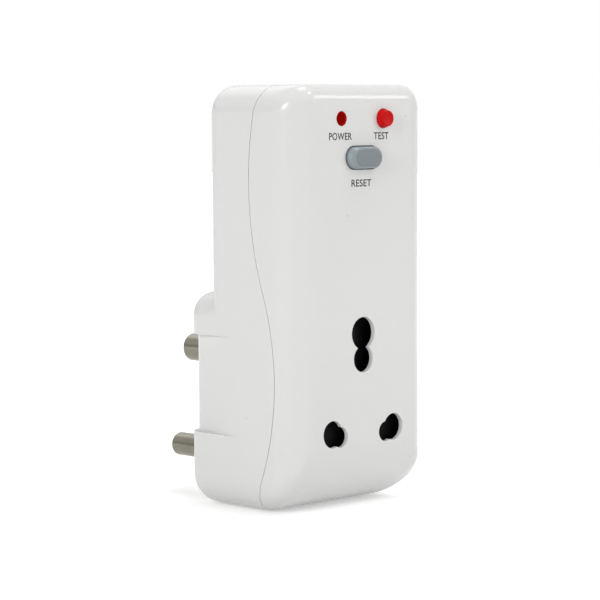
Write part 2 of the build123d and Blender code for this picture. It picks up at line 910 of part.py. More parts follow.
# Buttons, their springs and the guide plate that they run in
with BuildPart() as test_button:
    rod(test_x, control_z, test_radius, (front_y - test_height, front_y))
    fillet(test_button.faces().sort_by(Axis.Y)[0].edges(), test_edge_round)
    rod(test_x, control_z, test_collar_radius, (front_y - test_collar_height, flange_back_y))
    rod(test_x, control_z, test_collar_radius + flange_width, (flange_y, flange_back_y))
    test_stem_end_y = board_front_y - test_switch_size[1] - test_travel - test_switch_gap
    rod(test_x, control_z, test_stem_radius, (flange_back_y, test_stem_end_y))

carriage_front_y = -pad_depth + bar_thickness + 2 * tip_thickness + tip_gap + bridge_thickness
carriage_back_y = carriage_front_y + carriage_thickness
latch_back_y = carriage_back_y + latch_thickness
stem_neck_y = (carriage_back_y - latch_gap, latch_back_y + latch_gap)

with BuildPart() as reset_button:
    with BuildSketch(cross_plane(flange_back_y)):
        with Locations((0, reset_z)):
            SlotOverall(reset_length, reset_width)
    extrude(amount=flange_back_y - front_y + reset_button_height)
    fillet(reset_button.faces().sort_by(Axis.Y)[0].edges(), reset_edge_round)
    with BuildSketch(cross_plane(flange_back_y)):
        with Locations((0, reset_z)):
            SlotOverall(reset_length + 2 * flange_width, reset_width + 2 * flange_width)
    extrude(amount=flange_thickness)
    rod(0, reset_z, reset_stem_radius, (flange_back_y, stem_neck_y[0]))
    rod(0, reset_z, latch_neck_radius, stem_neck_y)
    rod(0, reset_z, reset_stem_radius, (stem_neck_y[1], stem_neck_y[1] + stem_head_thickness))


def button_spring(x, z, stem_radius):
    """The return spring between a button's flange and the guide plate."""
    with BuildPart() as spring:
        bore = stem_radius + running_gap
        rod(x, z, bore + button_spring_width, (flange_back_y, guide_front_y))
        rod(x, z, bore, (flange_back_y - cut, guide_front_y + cut), Mode.SUBTRACT)
    return spring


test_spring = button_spring(test_x, control_z, test_stem_radius)
reset_spring = button_spring(0, reset_z, reset_stem_radius)

with BuildPart() as button_guide:
    span_box(
        (-guide_half_width, guide_half_width),
        (guide_front_y, guide_back_y),
        (reset_z - guide_margin, control_z + guide_margin),
    )
    guide_cut = (guide_front_y - cut, guide_back_y + cut)
    rod(test_x, control_z, test_stem_radius + running_gap, guide_cut, Mode.SUBTRACT)
    rod(0, reset_z, reset_stem_radius + running_gap, guide_cut, Mode.SUBTRACT)
    rod(lamp_x, control_z, led_radius, guide_cut, Mode.SUBTRACT)
    for x, z in guide_screws_at:
        rod(x, z, small_screw_radius + screw_clearance, guide_cut, Mode.SUBTRACT)

with BuildPart() as guide_screws:
    for x, z in guide_screws_at:
        rod(x, z, small_screw_radius, (front_y + pilot_floor + pilot_gap, guide_back_y))
        rod(x, z, small_screw_head_radius, (guide_back_y, guide_back_y + small_screw_head_height))

# Power lamp: a lens in the face with a light-emitting diode behind it
with BuildPart() as lamp_lens:
    rod(lamp_x, control_z, lamp_radius, (front_y + lamp_recess, flange_y))
    fillet(lamp_lens.faces().sort_by(Axis.Y)[0].edges(), lamp_dome)
    rod(lamp_x, control_z, lamp_radius + flange_width, (face_y, flange_back_y))

led_front_y = guide_back_y - led_length

with BuildPart() as power_led:
    rod(lamp_x, control_z, led_radius, (led_front_y, guide_back_y))
    fillet(power_led.faces().sort_by(Axis.Y)[0].edges(), led_radius - led_flange)
    rod(lamp_x, control_z, led_radius + led_flange, (guide_back_y, guide_back_y + led_flange))

with BuildPart() as led_leads:
    for side in (-1, 1):
        x = lamp_x + side * led_lead_spacing / 2
        rod(x, control_z, led_lead_radius, (guide_back_y + led_flange, board_front_y))

# Circuit board
with BuildPart() as circuit_board:
    board_span = (board_front_y, board_back_y)
    span_box((-board_half_width, board_half_width), board_span, (board_bottom, board_top))
    board_cut = (board_front_y - cut, board_back_y + cut)
    for x, z in case_screws_at:
        rod(x, z, case_post_radius + board_post_clearance, board_cut, Mode.SUBTRACT)
    for x, z in board_screws_at:
        rod(x, z, small_screw_radius + screw_clearance, board_cut, Mode.SUBTRACT)

with BuildPart() as board_screws:
    for x, z in board_screws_at:
        forward_screw(x, z, board_front_y, back_y - case_wall - board_front_y - pilot_gap)

# Current transformer: a ring that the supply bars pass through, on a foot on the board
toroid_top = toroid_bottom + toroid_height
toroid_y = -toroid_depth

with BuildPart() as current_transformer:
    with Locations((0, toroid_y, toroid_bottom)):
        Cylinder(toroid_radius, toroid_height, align=(Align.CENTER, Align.CENTER, Align.MIN))
    fillet(current_transformer.edges(), toroid_edge_round)
    span_box(
        (-toroid_foot_width / 2, toroid_foot_width / 2),
        (toroid_y, board_front_y),
        (toroid_bottom + toroid_edge_round, toroid_top - toroid_edge_round),
    )
    with Locations((0, toroid_y, toroid_bottom - cut)):
        Cylinder(
            toroid_bore,
            toroid_height + 2 * cut,
            align=(Align.CENTER, Align.CENTER, Align.MIN),
            mode=Mode.SUBTRACT,
        )

# Contact mechanism
pole_x = pole_spacing / 2
upper_contact_z = reset_z + contact_pitch / 2
lower_contact_z = reset_z - contact_pitch / 2
pad_y = -pad_depth + bar_thickness / 2
base_front_y = -pad_depth + bar_thickness
window_top = reset_z + base_window_half_height
window_bottom = reset_z - base_window_half_height
feed_y = -supply_bar_depth
feed_z = window_top - feed_drop
flat = bar_thickness / 2
wide = bar_width / 2

with BuildPart() as contact_base:
    outer_half = base_window_half_width + base_side_wall
    span_box(
        (-outer_half, outer_half),
        (base_front_y, board_front_y),
        (window_bottom - base_wall, window_top + base_wall),
    )
    span_box(
        (-base_window_half_width, base_window_half_width),
        (base_front_y - cut, board_front_y + cut),
        (window_bottom, window_top),
        Mode.SUBTRACT,
    )
    latch_y = (carriage_back_y + latch_back_y) / 2
    side_rod(
        latch_y,
        reset_z,
        plunger_radius + button_gap,
        (-outer_half - cut, -base_window_half_width + cut),
        Mode.SUBTRACT,
    )
    for side in (-1, 1):
        span_box(
            (side * (pole_x - wide), side * (pole_x + wide)),
            (feed_y - flat, feed_y + flat),
            (window_bottom - base_wall - cut, window_bottom + cut),
            Mode.SUBTRACT,
        )


def supply_bar(side):
    """The bar from a pin's tail, through the current transformer, to an upper contact."""
    through_x = side * supply_bar_spacing / 2
    turn_z = strap_top
    above_z = toroid_top + supply_bar_rise
    pin_x = side * pin_spacing / 2
    strap_mid_y = clamp_y - strap_thickness / 2
    with BuildPart() as supply:
        span_box(
            (pin_x - strap_width / 2, pin_x + strap_width / 2),
            (strap_y, clamp_y),
            (-strap_width / 2, turn_z + flat),
        )
        rod(pin_x, 0, pin_tail_radius, (strap_y - cut, clamp_y + cut), Mode.SUBTRACT)
        bar([(pin_x, strap_mid_y, turn_z), (pin_x, toroid_y, turn_z)], (wide, flat, flat))
        bar([(pin_x, toroid_y, turn_z), (through_x, toroid_y, turn_z)], (flat, wide, flat))
        bar([(through_x, toroid_y, turn_z), (through_x, toroid_y, above_z)], (flat, wide, flat))
        bar([(through_x, toroid_y, above_z), (through_x, feed_y, above_z)], (flat, flat, flat))
        bar([(through_x, feed_y, above_z), (side * pole_x, feed_y, above_z)], (flat, flat, flat))
        bar([(side * pole_x, feed_y, above_z), (side * pole_x, feed_y, feed_z)], (wide, flat, flat))
        bar([(side * pole_x, feed_y, feed_z), (side * pole_x, pad_y, feed_z)], (wide, flat, flat))
        pad_top_z = window_top + supply_bar_overlap
        bar(
            [
                (side * pole_x, pad_y, pad_top_z),
                (side * pole_x, pad_y, upper_contact_z - tip_radius),
            ],
            (wide, flat, flat),
        )
    return supply


def load_bar(side):
    """The bar from a lower contact down to the socket contact on its side."""
    out_z = reset_z - load_bar_out_drop
    back_z = plug_top + load_bar_back_rise
    down_y = block_back_y + load_bar_step
    outer_x = side * load_bar_x
    with BuildPart() as load:
        bar(
            [
                (side * pole_x, pad_y, lower_contact_z + tip_radius),
                (side * pole_x, pad_y, out_z),
            ],
            (wide, flat, flat),
        )
        bar([(side * pole_x, pad_y, out_z), (outer_x, pad_y, out_z)], (flat, flat, wide))
        bar([(outer_x, pad_y, out_z), (outer_x, pad_y, back_z)], (flat, flat, flat))
        bar([(outer_x, pad_y, back_z), (outer_x, down_y, back_z)], (flat, flat, wide))
        bar([(outer_x, down_y, back_z), (outer_x, down_y, socket_z)], (flat, wide, wide))
        bar([(outer_x, down_y, socket_z), (outer_x, bar_end_y, socket_z)], (flat, flat, wide))
    return load


line_supply_bar = supply_bar(1)
neutral_supply_bar = supply_bar(-1)
line_load_bar = load_bar(1)
neutral_load_bar = load_bar(-1)

with BuildPart() as earth_bar:
    low_z = earth_chamber_bottom - bar_thickness / 2
    strap_mid_y = clamp_y - strap_thickness / 2
    span_box(
        (-strap_width / 2, strap_width / 2),
        (strap_y, clamp_y),
        (low_z - flat, earth_pin_offset + strap_width),
    )
    rod(0, earth_pin_offset, pin_tail_radius, (strap_y - cut, clamp_y + cut), Mode.SUBTRACT)
    bar([(0, strap_mid_y, low_z), (0, bar_end_y, low_z)], (wide, flat, flat))

contacts_at = [(side * pole_x, z) for side in (-1, 1) for z in (upper_contact_z, lower_contact_z)]
fixed_tip_y = (base_front_y, base_front_y + tip_thickness)
moving_tip_y = (fixed_tip_y[1] + tip_gap, fixed_tip_y[1] + tip_gap + tip_thickness)

with BuildPart() as fixed_contact_tips:
    for x, z in contacts_at:
        rod(x, z, tip_radius, fixed_tip_y)

with BuildPart() as moving_contact_tips:
    for x, z in contacts_at:
        rod(x, z, tip_radius, moving_tip_y)

with BuildPart() as contact_bridges:
    for side in (-1, 1):
        span_box(
            (side * pole_x - bridge_width / 2, side * pole_x + bridge_width / 2),
            (moving_tip_y[1], moving_tip_y[1] + bridge_thickness),
            (reset_z - bridge_half_length, reset_z + bridge_half_length),
        )

with BuildPart() as contact_carriage:
    span_box(
        (-carriage_half_width, carriage_half_width),
        (carriage_front_y, carriage_back_y),
        (reset_z - carriage_half_height, reset_z + carriage_half_height),
    )
    rod(0, reset_z, reset_stem_radius + running_gap, (carriage_front_y - cut, carriage_back_y + cut), Mode.SUBTRACT)
    rod_room = plunger_radius + button_gap
    span_box(
        (-carriage_half_width - cut, -latch_half_length + latch_travel + cut),
        (latch_y - reset_travel - rod_room, carriage_back_y + cut),
        (reset_z - rod_room, reset_z + rod_room),
        Mode.SUBTRACT,
    )

# Latch plate: its narrow slot grips the stem's neck, and its wide end lets the stem go
with BuildPart() as latch_plate:
    span_box(
        (-latch_half_length, latch_half_length),
        (carriage_back_y, latch_back_y),
        (reset_z - latch_half_height, reset_z + latch_half_height),
    )
    latch_cut = (carriage_back_y - cut, latch_back_y + cut)
    neck = latch_neck_radius + running_gap
    rod(0, reset_z, neck, latch_cut, Mode.SUBTRACT)
    span_box((-latch_travel, 0), latch_cut, (reset_z - neck, reset_z + neck), Mode.SUBTRACT)
    rod(-latch_travel, reset_z, reset_stem_radius + running_gap / 2, latch_cut, Mode.SUBTRACT)

with BuildPart() as break_springs:
    for side in (-1, 1):
        x = side * pole_x / 2
        rod(x, reset_z, break_spring_radius, (guide_back_y, carriage_front_y))
        rod(x, reset_z, break_spring_bore, (guide_back_y - cut, carriage_front_y + cut), Mode.SUBTRACT)

# Trip coil: bobbin, winding and the plunger that knocks the latch plate aside
coil_outer_x = -(half_width - case_wall - coil_case_gap)
coil_inner_x = coil_outer_x + coil_length
core_bore = plunger_radius + running_gap

with BuildPart() as coil_bobbin:
    side_rod(latch_y, reset_z, coil_core_radius, (coil_outer_x, coil_inner_x))
    side_rod(latch_y, reset_z, coil_radius, (coil_outer_x, coil_outer_x + coil_flange))
    side_rod(latch_y, reset_z, coil_radius, (coil_inner_x - coil_flange, coil_inner_x))
    span_box(
        (coil_inner_x - coil_flange, coil_inner_x),
        (latch_y, board_front_y),
        (reset_z - coil_foot_width / 2, reset_z + coil_foot_width / 2),
    )
    span_box(
        (coil_outer_x, coil_outer_x + coil_flange),
        (latch_y, board_front_y),
        (reset_z - coil_foot_width / 2, reset_z + coil_foot_width / 2),
    )
    side_rod(
        latch_y, reset_z, core_bore, (coil_outer_x + coil_flange, coil_inner_x + cut), Mode.SUBTRACT
    )

with BuildPart() as coil_winding:
    winding_span = (coil_outer_x + coil_flange, coil_inner_x - coil_flange)
    side_rod(latch_y, reset_z, coil_winding_radius, winding_span)
    side_rod(
        latch_y,
        reset_z,
        coil_core_radius,
        (winding_span[0] - cut, winding_span[1] + cut),
        Mode.SUBTRACT,
    )

with BuildPart() as trip_plunger:
    plunger_start_x = coil_outer_x + coil_flange + latch_travel
    side_rod(latch_y, reset_z, plunger_radius, (plunger_start_x, coil_inner_x))
    side_rod(latch_y, reset_z, plunger_rod_radius, (coil_inner_x, -latch_half_length - plunger_gap))

with BuildPart() as plunger_spring:
    spring_span = (coil_outer_x + coil_flange, plunger_start_x)
    side_rod(latch_y, reset_z, plunger_rod_radius, spring_span)
    bore_span = (spring_span[0] - cut, spring_span[1] + cut)
    side_rod(latch_y, reset_z, plunger_spring_bore, bore_span, Mode.SUBTRACT)


# Electronic parts, each standing on the board
def board_box(x, z, size):
    """A boxed component that sits on the board."""
    width, depth, height = size
    with BuildPart() as component:
        span_box(
            (x - width / 2, x + width / 2),
            (board_front_y - depth, board_front_y),
            (z - height / 2, z + height / 2),
        )
    return component


trip_chip = board_box(chip_across, chip_z, chip_size)
thyristor = board_box(thyristor_across, thyristor_z, thyristor_size)
test_switch = board_box(test_x, control_z, test_switch_size)

with BuildPart() as filter_capacitor:
    capacitor_span = (board_front_y - capacitor_length, board_front_y)
    rod(capacitor_across, capacitor_z, capacitor_radius, capacitor_span)

with BuildPart() as surge_varistor:
    varistor_y = board_front_y - varistor_stand_off - varistor_radius
    with Locations((-varistor_across, varistor_y, varistor_z)):
        Cylinder(varistor_radius, varistor_thickness)
    for side in (-1, 1):
        leg_x = side * varistor_leg_spacing / 2 - varistor_across
        rod(leg_x, varistor_z, varistor_leg_radius, (varistor_y, board_front_y))

with BuildPart() as test_resistor:
    resistor_y = board_front_y - resistor_stand_off - resistor_radius
    with Locations((-resistor_across, resistor_y, resistor_z)):
        Cylinder(resistor_radius, resistor_length)
        Cylinder(resistor_leg_radius, resistor_leg_spacing + 2 * resistor_leg_radius)
    for side in (-1, 1):
        leg_z = resistor_z + side * resistor_leg_spacing / 2
        rod(-resistor_across, leg_z, resistor_drop_radius, (resistor_y, board_front_y))

# The diodes sit between the ring core's top and the contact base's bottom
diode_room = window_bottom - base_wall - toroid_top
diode_z = toroid_top + diode_room * diode_share

with BuildPart() as rectifier_diodes:
    width, depth, height = diode_size
    for place in range(diode_count):
        x = (place - (diode_count - 1) / 2) * diode_pitch
        span_box(
            (x - width / 2, x + width / 2),
            (board_front_y - depth, board_front_y),
            (diode_z - height / 2, diode_z + height / 2),
        )

pieces = {
    "front_shell": front_shell,
    "rear_shell": rear_shell,
    "case_screws": case_screws,
    "line_pin": line_pin,
    "neutral_pin": neutral_pin,
    "earth_pin": earth_pin,
    "pin_clamp": pin_clamp,
    "clamp_screws": clamp_screws,
    "socket_insert": socket_insert,
    "insert_screws": insert_screws,
    "line_contact": line_contact,
    "neutral_contact": neutral_contact,
    "earth_contact": earth_contact,
    "socket_shutter": socket_shutter,
    "shutter_pivot": shutter_pivot,
    "shutter_spring": shutter_spring,
    "test_button": test_button,
    "test_spring": test_spring,
    "reset_button": reset_button,
    "reset_spring": reset_spring,
    "button_guide": button_guide,
    "guide_screws": guide_screws,
    "lamp_lens": lamp_lens,
    "power_led": power_led,
    "led_leads": led_leads,
    "circuit_board": circuit_board,
    "board_screws": board_screws,
    "current_transformer": current_transformer,
    "contact_base": contact_base,
    "line_supply_bar": line_supply_bar,
    "neutral_supply_bar": neutral_supply_bar,
    "line_load_bar": line_load_bar,
    "neutral_load_bar": neutral_load_bar,
    "earth_bar": earth_bar,
    "fixed_contact_tips": fixed_contact_tips,
    "moving_contact_tips": moving_contact_tips,
    "contact_bridges": contact_bridges,
    "contact_carriage": contact_carriage,
    "latch_plate": latch_plate,
    "break_springs": break_springs,
    "coil_bobbin": coil_bobbin,
    "coil_winding": coil_winding,
    "trip_plunger": trip_plunger,
    "plunger_spring": plunger_spring,
    "trip_chip": trip_chip,
    "thyristor": thyristor,
    "test_switch": test_switch,
    "filter_capacitor": filter_capacitor,
    "surge_varistor": surge_varistor,
    "test_resistor": test_resistor,
    "rectifier_diodes": rectifier_diodes,
}

os.makedirs("parts", exist_ok=True)
for name, piece in pieces.items():
    piece.part.label = name
    export_step(piece.part, f"parts/{name}.step")
    print(name, round(piece.part.volume, 1))
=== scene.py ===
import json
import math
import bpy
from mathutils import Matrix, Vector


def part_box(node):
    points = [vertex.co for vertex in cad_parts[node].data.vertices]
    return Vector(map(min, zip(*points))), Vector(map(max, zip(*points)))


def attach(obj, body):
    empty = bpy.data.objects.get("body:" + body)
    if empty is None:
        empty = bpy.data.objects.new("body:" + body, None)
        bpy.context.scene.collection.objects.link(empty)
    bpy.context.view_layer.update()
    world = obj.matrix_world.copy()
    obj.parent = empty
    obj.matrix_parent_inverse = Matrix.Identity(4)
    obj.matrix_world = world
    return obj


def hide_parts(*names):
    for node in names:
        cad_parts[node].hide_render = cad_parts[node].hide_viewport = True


bl_info = {
    "name": "RCD adapter plug",
    "version": (1, 0, 0),
    "blender": (4, 5, 0),
    "location": "View3D > Sidebar > Adapter",
    "description": "Dresses the adapter plug's solids with detailed shells, controls and materials",
    "category": "Object",
}

import bmesh
import bpy
from mathutils import Matrix, Vector

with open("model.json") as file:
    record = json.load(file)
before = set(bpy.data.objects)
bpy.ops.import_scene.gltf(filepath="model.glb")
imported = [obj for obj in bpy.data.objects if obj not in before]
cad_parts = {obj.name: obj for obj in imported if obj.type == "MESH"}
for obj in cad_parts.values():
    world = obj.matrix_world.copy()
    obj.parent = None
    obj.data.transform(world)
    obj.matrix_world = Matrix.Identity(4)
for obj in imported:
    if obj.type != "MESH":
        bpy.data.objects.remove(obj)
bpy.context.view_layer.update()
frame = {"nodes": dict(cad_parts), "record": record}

MM = 0.001

# Steps of a quarter rounding
ROUND_STEPS = 12

# Each printed word with its place across, its height and its width in millimetres
WORDS = (
    ("POWER", -9.25, 94.85, 9.4),
    ("TEST", 7.75, 94.9, 6.25),
    ("RESET", -0.65, 81.3, 8.3),
)

# The parting line's two turns: height above the bottom and depth behind the face
SEAM_UPPER = (96.2 * MM, 17.7 * MM)
SEAM_LOWER = (38.2 * MM, 7.6 * MM)

# The upper arc's share of the parting line's curve
SEAM_SHARE = 0.555

# The case screws: place across, heights, and the radii of their posts, wells and bores
SCREW_ACROSS = 21.4 * MM
SCREW_HEIGHTS = (102.45 * MM, -5.55 * MM)
SCREW_POST, SCREW_WELL, SCREW_BORE = 4 * MM, 2.9 * MM, 1.7 * MM

# Each pair of joined holes, large and small: place across, height and radius in millimetres
EARTH_HOLES = ((0, 37.45, 4.8), (0, 29.95, 3.98))
SIDE_HOLES = ((12.7, 8.85, 3.98), (9.525, 7.75, 2.99))

# Depth of the holes' narrow front part, and how much wider they are behind it
HOLE_RIM, HOLE_RELIEF = 1.4 * MM, 1.2 * MM

# Gaps round the collar and the lens, and between the wall and the flanges behind it
COLLAR_GAP, LAMP_GAP, FLANGE_GAP = 0.15 * MM, 0.1 * MM, 0.1 * MM

# How far the flanges stand out sideways, and the radii of the buttons' stems
FLANGE, TEST_STEM, RESET_STEM = 1.2 * MM, 1.5 * MM, 2.0 * MM

# How far the print lies before the face
WORD_LIFT = 0.012 * MM

# Each pin with its place across, its height and its radius, and the gap round them, in millimetres
PINS = ((-12.7, 0, 3.53), (12.7, 0, 3.53), (0, 28.6, 4.35))
PIN_GAP = 0.27

# Each lamp with its place, what it looks at, its size and its power
LAMPS = (
    ("key", (-0.92, -0.26, 0.36), (0, -0.025, 0.048), (0.32, 0.32), 3.2),
    ("right", (0.66, -1.0, 0.35), (0, -0.04, 0.1), (1.3, 0.8), 0.3),
    ("band", (0.75, -0.74, 0.32), (0, -0.04, 0.1), (0.3, 0.28), 1.5),
    ("high", (0.3, -0.7, 0.75), (0, -0.04, 0.09), (0.12, 0.12), 1.0),
    ("over", (0.15, -0.1, 1.0), (0, -0.03, 0.08), (0.5, 0.3), 2.8),
    ("back", (0.3, 0.72, 0.78), (0, -0.03, 0.08), (0.9, 0.4), 0.9),
)


def length(name, description, millimetres):
    """A property that holds a length."""
    return bpy.props.FloatProperty(
        name=name, description=description, default=millimetres * MM, unit="LENGTH", precision=5
    )


def share(name, description, value):
    """A property that holds a share between nothing and the whole."""
    return bpy.props.FloatProperty(
        name=name, description=description, default=value, min=0, max=1, subtype="FACTOR"
    )


def colour(name, description, value):
    """A property that holds a linear colour."""
    return bpy.props.FloatVectorProperty(
        name=name, description=description, default=value, size=3, min=0, max=1, subtype="COLOR"
    )


class AdapterCase(bpy.types.PropertyGroup):
    """Sizes of the two shells."""

    width: length("Width", "Width of the case", 58.0)
    top: length("Top", "Height of the top above the pins' line", 109.75)
    bottom: length("Bottom", "Height of the bottom above the pins' line", -14.25)
    front: length("Front", "Place of the front face", -45.9)
    back: length("Back", "Place of the upper part's back", -8.9)
    wall: length("Wall", "Thickness of the walls", 2.2)
    plug_wall: length("Plug wall", "Thickness of the plug block's walls", 2.5)
    plug_top: length("Plug top", "Height of the plug block's top", 49.15)
    plug_corner: length("Plug corner", "Corner radius of the plug block", 7.4)
    top_corner: length("Top corner", "Radius of the upper corners", 8.2)
    bottom_corner: length("Bottom corner", "Radius of the lower corners", 9.4)
    least_corner: length("Least corner", "Smallest corner radius on the front", 1.6)
    top_round: length("Top round", "Rounding of the front's top edge", 4.2)
    side_round: length("Side round", "Rounding of the front's side edges", 8.9)
    bottom_round: length("Bottom round", "Rounding of the front's bottom edge", 20.0)
    back_round: length("Back round", "Rounding of the back edges", 6.5)
    seam_gap: length("Seam gap", "Width of the line between the shells", 0.2)
    edge: length("Edge", "Softening of the moulded edges", 0.22)
    grip_length: length("Grip length", "Length of the finger scoops", 22.0)
    grip_depth: length("Grip depth", "Depth of the finger scoops at the rear face", 5.5)
    grip_turn: length("Grip turn", "Depth of the scoops where they turn to the rear", 2.9)
    grip_round: length("Grip round", "Rounding of the scoops' rear end", 5.1)
    grip_bottom: length("Grip bottom", "Height of the scoops' lower end", 7.6)
    grip_height: length("Grip height", "Height of the scoops", 29.05)
    grip_wall: length("Grip wall", "Thickness of the wall inside the scoops", 2.0)


class AdapterControls(bpy.types.PropertyGroup):
    """Sizes of the buttons, the lamp and the words."""

    height: length("Height", "Height of the lamp and the TEST button", 99.95)
    across: length("Across", "Distance of each from the middle", 8.7)
    test_radius: length("TEST radius", "Radius of the TEST button", 2.35)
    test_collar: length("TEST collar", "Radius of the TEST button's collar", 2.75)
    test_proud: length("TEST height", "How far the TEST button stands out", 2.15)
    collar_proud: length("Collar height", "How far its collar stands out", 0.6)
    reset_height: length("RESET place", "Height of the RESET button", 88.65)
    reset_length: length("RESET length", "Length of the RESET button", 13.8)
    reset_width: length("RESET width", "Width of the RESET button", 6.4)
    reset_proud: length("RESET height", "How far the RESET button stands out", 2.65)
    reset_round: length("RESET round", "Rounding of the RESET button's edge", 1.75)
    gap: length("Gap", "Gap round the RESET button", 0.3)
    lamp_radius: length("Lamp radius", "Radius of the lamp's lens", 2.1)
    lamp_recess: length("Lamp recess", "How far the lens sits behind the face", 0.1)
    word_height: length("Word height", "Height of the printed letters", 2.12)


class AdapterLooks(bpy.types.PropertyGroup):
    """Colours and finishes."""

    shell: colour("Shell", "White plastic", (0.80, 0.80, 0.785))
    shell_roughness: share("Shell roughness", "Roughness of the white plastic", 0.2)
    red: colour("TEST", "Red plastic", (0.62, 0.007, 0.009))
    grey: colour("RESET", "Grey plastic", (0.19, 0.225, 0.242))
    lens: colour("Lamp", "Red lens", (0.28, 0.002, 0.0))
    print: colour("Print", "Ink of the words", (0.02, 0.02, 0.022))
    nickel: colour("Pins", "Nickel plating", (0.225, 0.217, 0.172))
    brass: colour("Brass", "Contacts and bars", (0.72, 0.53, 0.25))
    steel: colour("Steel", "Screws and springs", (0.56, 0.56, 0.57))
    copper: colour("Copper", "Coil wire", (0.66, 0.27, 0.12))
    # The dark plastic is black, and set darker still as painted shade for the insides of the socket
    # holes
    dark: colour("Dark plastic", "Socket insert and shutter", (0.006, 0.006, 0.0065))
    natural: colour("Natural plastic", "Inner mouldings", (0.62, 0.59, 0.52))
    board: colour("Board", "Solder mask", (0.03, 0.18, 0.07))
    silver: colour("Silver", "Contact tips", (0.80, 0.79, 0.76))
    blue: colour("Blue coat", "Coating of the surge part", (0.04, 0.12, 0.36))
    tan: colour("Tan coat", "Coating of the resistor", (0.50, 0.37, 0.22))
    can: colour("Can", "Sleeve of the capacitor", (0.03, 0.035, 0.05))
    stripe: colour("Stripe", "Stripe along the capacitor", (0.6, 0.62, 0.64))


class AdapterStage(bpy.types.PropertyGroup):
    """The camera and the light."""

    yaw: bpy.props.FloatProperty(
        name="Yaw", description="Camera's turn round the object", default=math.radians(-44.73),
        subtype="ANGLE",
    )
    pitch: bpy.props.FloatProperty(
        name="Pitch", description="Camera's height angle", default=math.radians(4.52),
        subtype="ANGLE",
    )
    roll: bpy.props.FloatProperty(
        name="Roll", description="Camera's roll", default=math.radians(-0.29), subtype="ANGLE"
    )
    distance: length("Distance", "Camera's distance", 692.3)
    aim_x: length("Aim across", "Where the camera aims, across", -6.14)
    aim_y: length("Aim depth", "Where the camera aims, in depth", -25.9)
    aim_z: length("Aim height", "Where the camera aims, in height", 46.5)
    focus: bpy.props.FloatProperty(
        name="Lens", description="Focal length in millimetres", default=140.44, min=1
    )
    key: bpy.props.FloatProperty(
        name="Key light", description="Strength of the light from the left", default=1.0, min=0
    )


def group(name):
    """One of the property groups of the scene."""
    return getattr(bpy.context.scene, "adapter_" + name)


def look(name):
    """One of the colours of the looks."""
    return tuple(getattr(group("looks"), name))


# Shader arithmetic
class Value:
    """A shader socket that takes part in arithmetic."""

    def __init__(self, paint, socket):
        self.paint = paint
        self.socket = socket

    def join(self, operation, *terms):
        return self.paint.output("ShaderNodeMath", {"operation": operation}, dict(enumerate(terms)))

    def __add__(self, other):
        return self.join("ADD", self, other)

    def __radd__(self, other):
        return self.join("ADD", other, self)

    def __sub__(self, other):
        return self.join("SUBTRACT", self, other)

    def __rsub__(self, other):
        return self.join("SUBTRACT", other, self)

    def __mul__(self, other):
        return self.join("MULTIPLY", self, other)

    def __rmul__(self, other):
        return self.join("MULTIPLY", other, self)

    def __truediv__(self, other):
        return self.join("DIVIDE", self, other)

    def __rtruediv__(self, other):
        return self.join("DIVIDE", other, self)

    def __pow__(self, other):
        return self.join("POWER", self, other)

    def __rpow__(self, other):
        return self.join("POWER", other, self)

    def above(self, limit):
        return self.join("GREATER_THAN", self, limit)

    def most(self, other):
        return self.join("MAXIMUM", self, other)

    def sine(self):
        return self.join("SINE", self)

    def size(self):
        return self.join("ABSOLUTE", self)

    def band(self, low, high):
        """Rises smoothly from 0 at low to 1 at high."""
        entries = {"Value": self, "From Min": low, "From Max": high}
        return self.paint.output("ShaderNodeMapRange", {"interpolation_type": "SMOOTHSTEP"}, entries)


class Nodes:
    """A node tree that is filled by one method."""

    def __init__(self, tree):
        self.tree = tree

    def node(self, kind, settings, entries):
        """A new node: its settings are set first, then its sockets are filled or linked."""
        made = self.tree.nodes.new(kind)
        for name, value in settings.items():
            setattr(made, name, value)
        for name, value in entries.items():
            self.feed(made.inputs[name], value)
        return made

    def feed(self, entry, value):
        if isinstance(value, Value):
            self.tree.links.new(value.socket, entry)
        else:
            entry.default_value = value

    def output(self, kind, settings, entries, name=0):
        """The named output of a new node."""
        return Value(self, self.node(kind, settings, entries).outputs[name])

    def axes(self, kind):
        """The texture coordinates of this kind, whole and split into three."""
        place = self.output("ShaderNodeTexCoord", {}, {}, kind)
        parts = self.node("ShaderNodeSeparateXYZ", {}, {"Vector": place})
        return place, *(Value(self, parts.outputs[i]) for i in range(3))

    def blend_shaders(self, factor, first, second):
        """A shader between two shaders."""
        return self.output("ShaderNodeMixShader", {}, {0: factor, 1: first, 2: second})

    def seen_directly(self):
        """Two values: 1 for rays from the camera, and 1 for rays in gloss or through glass."""
        path = self.node("ShaderNodeLightPath", {}, {})
        camera, glossy, through = (
            Value(self, path.outputs[name])
            for name in ("Is Camera Ray", "Is Glossy Ray", "Is Transmission Ray")
        )
        return camera, glossy.most(through)


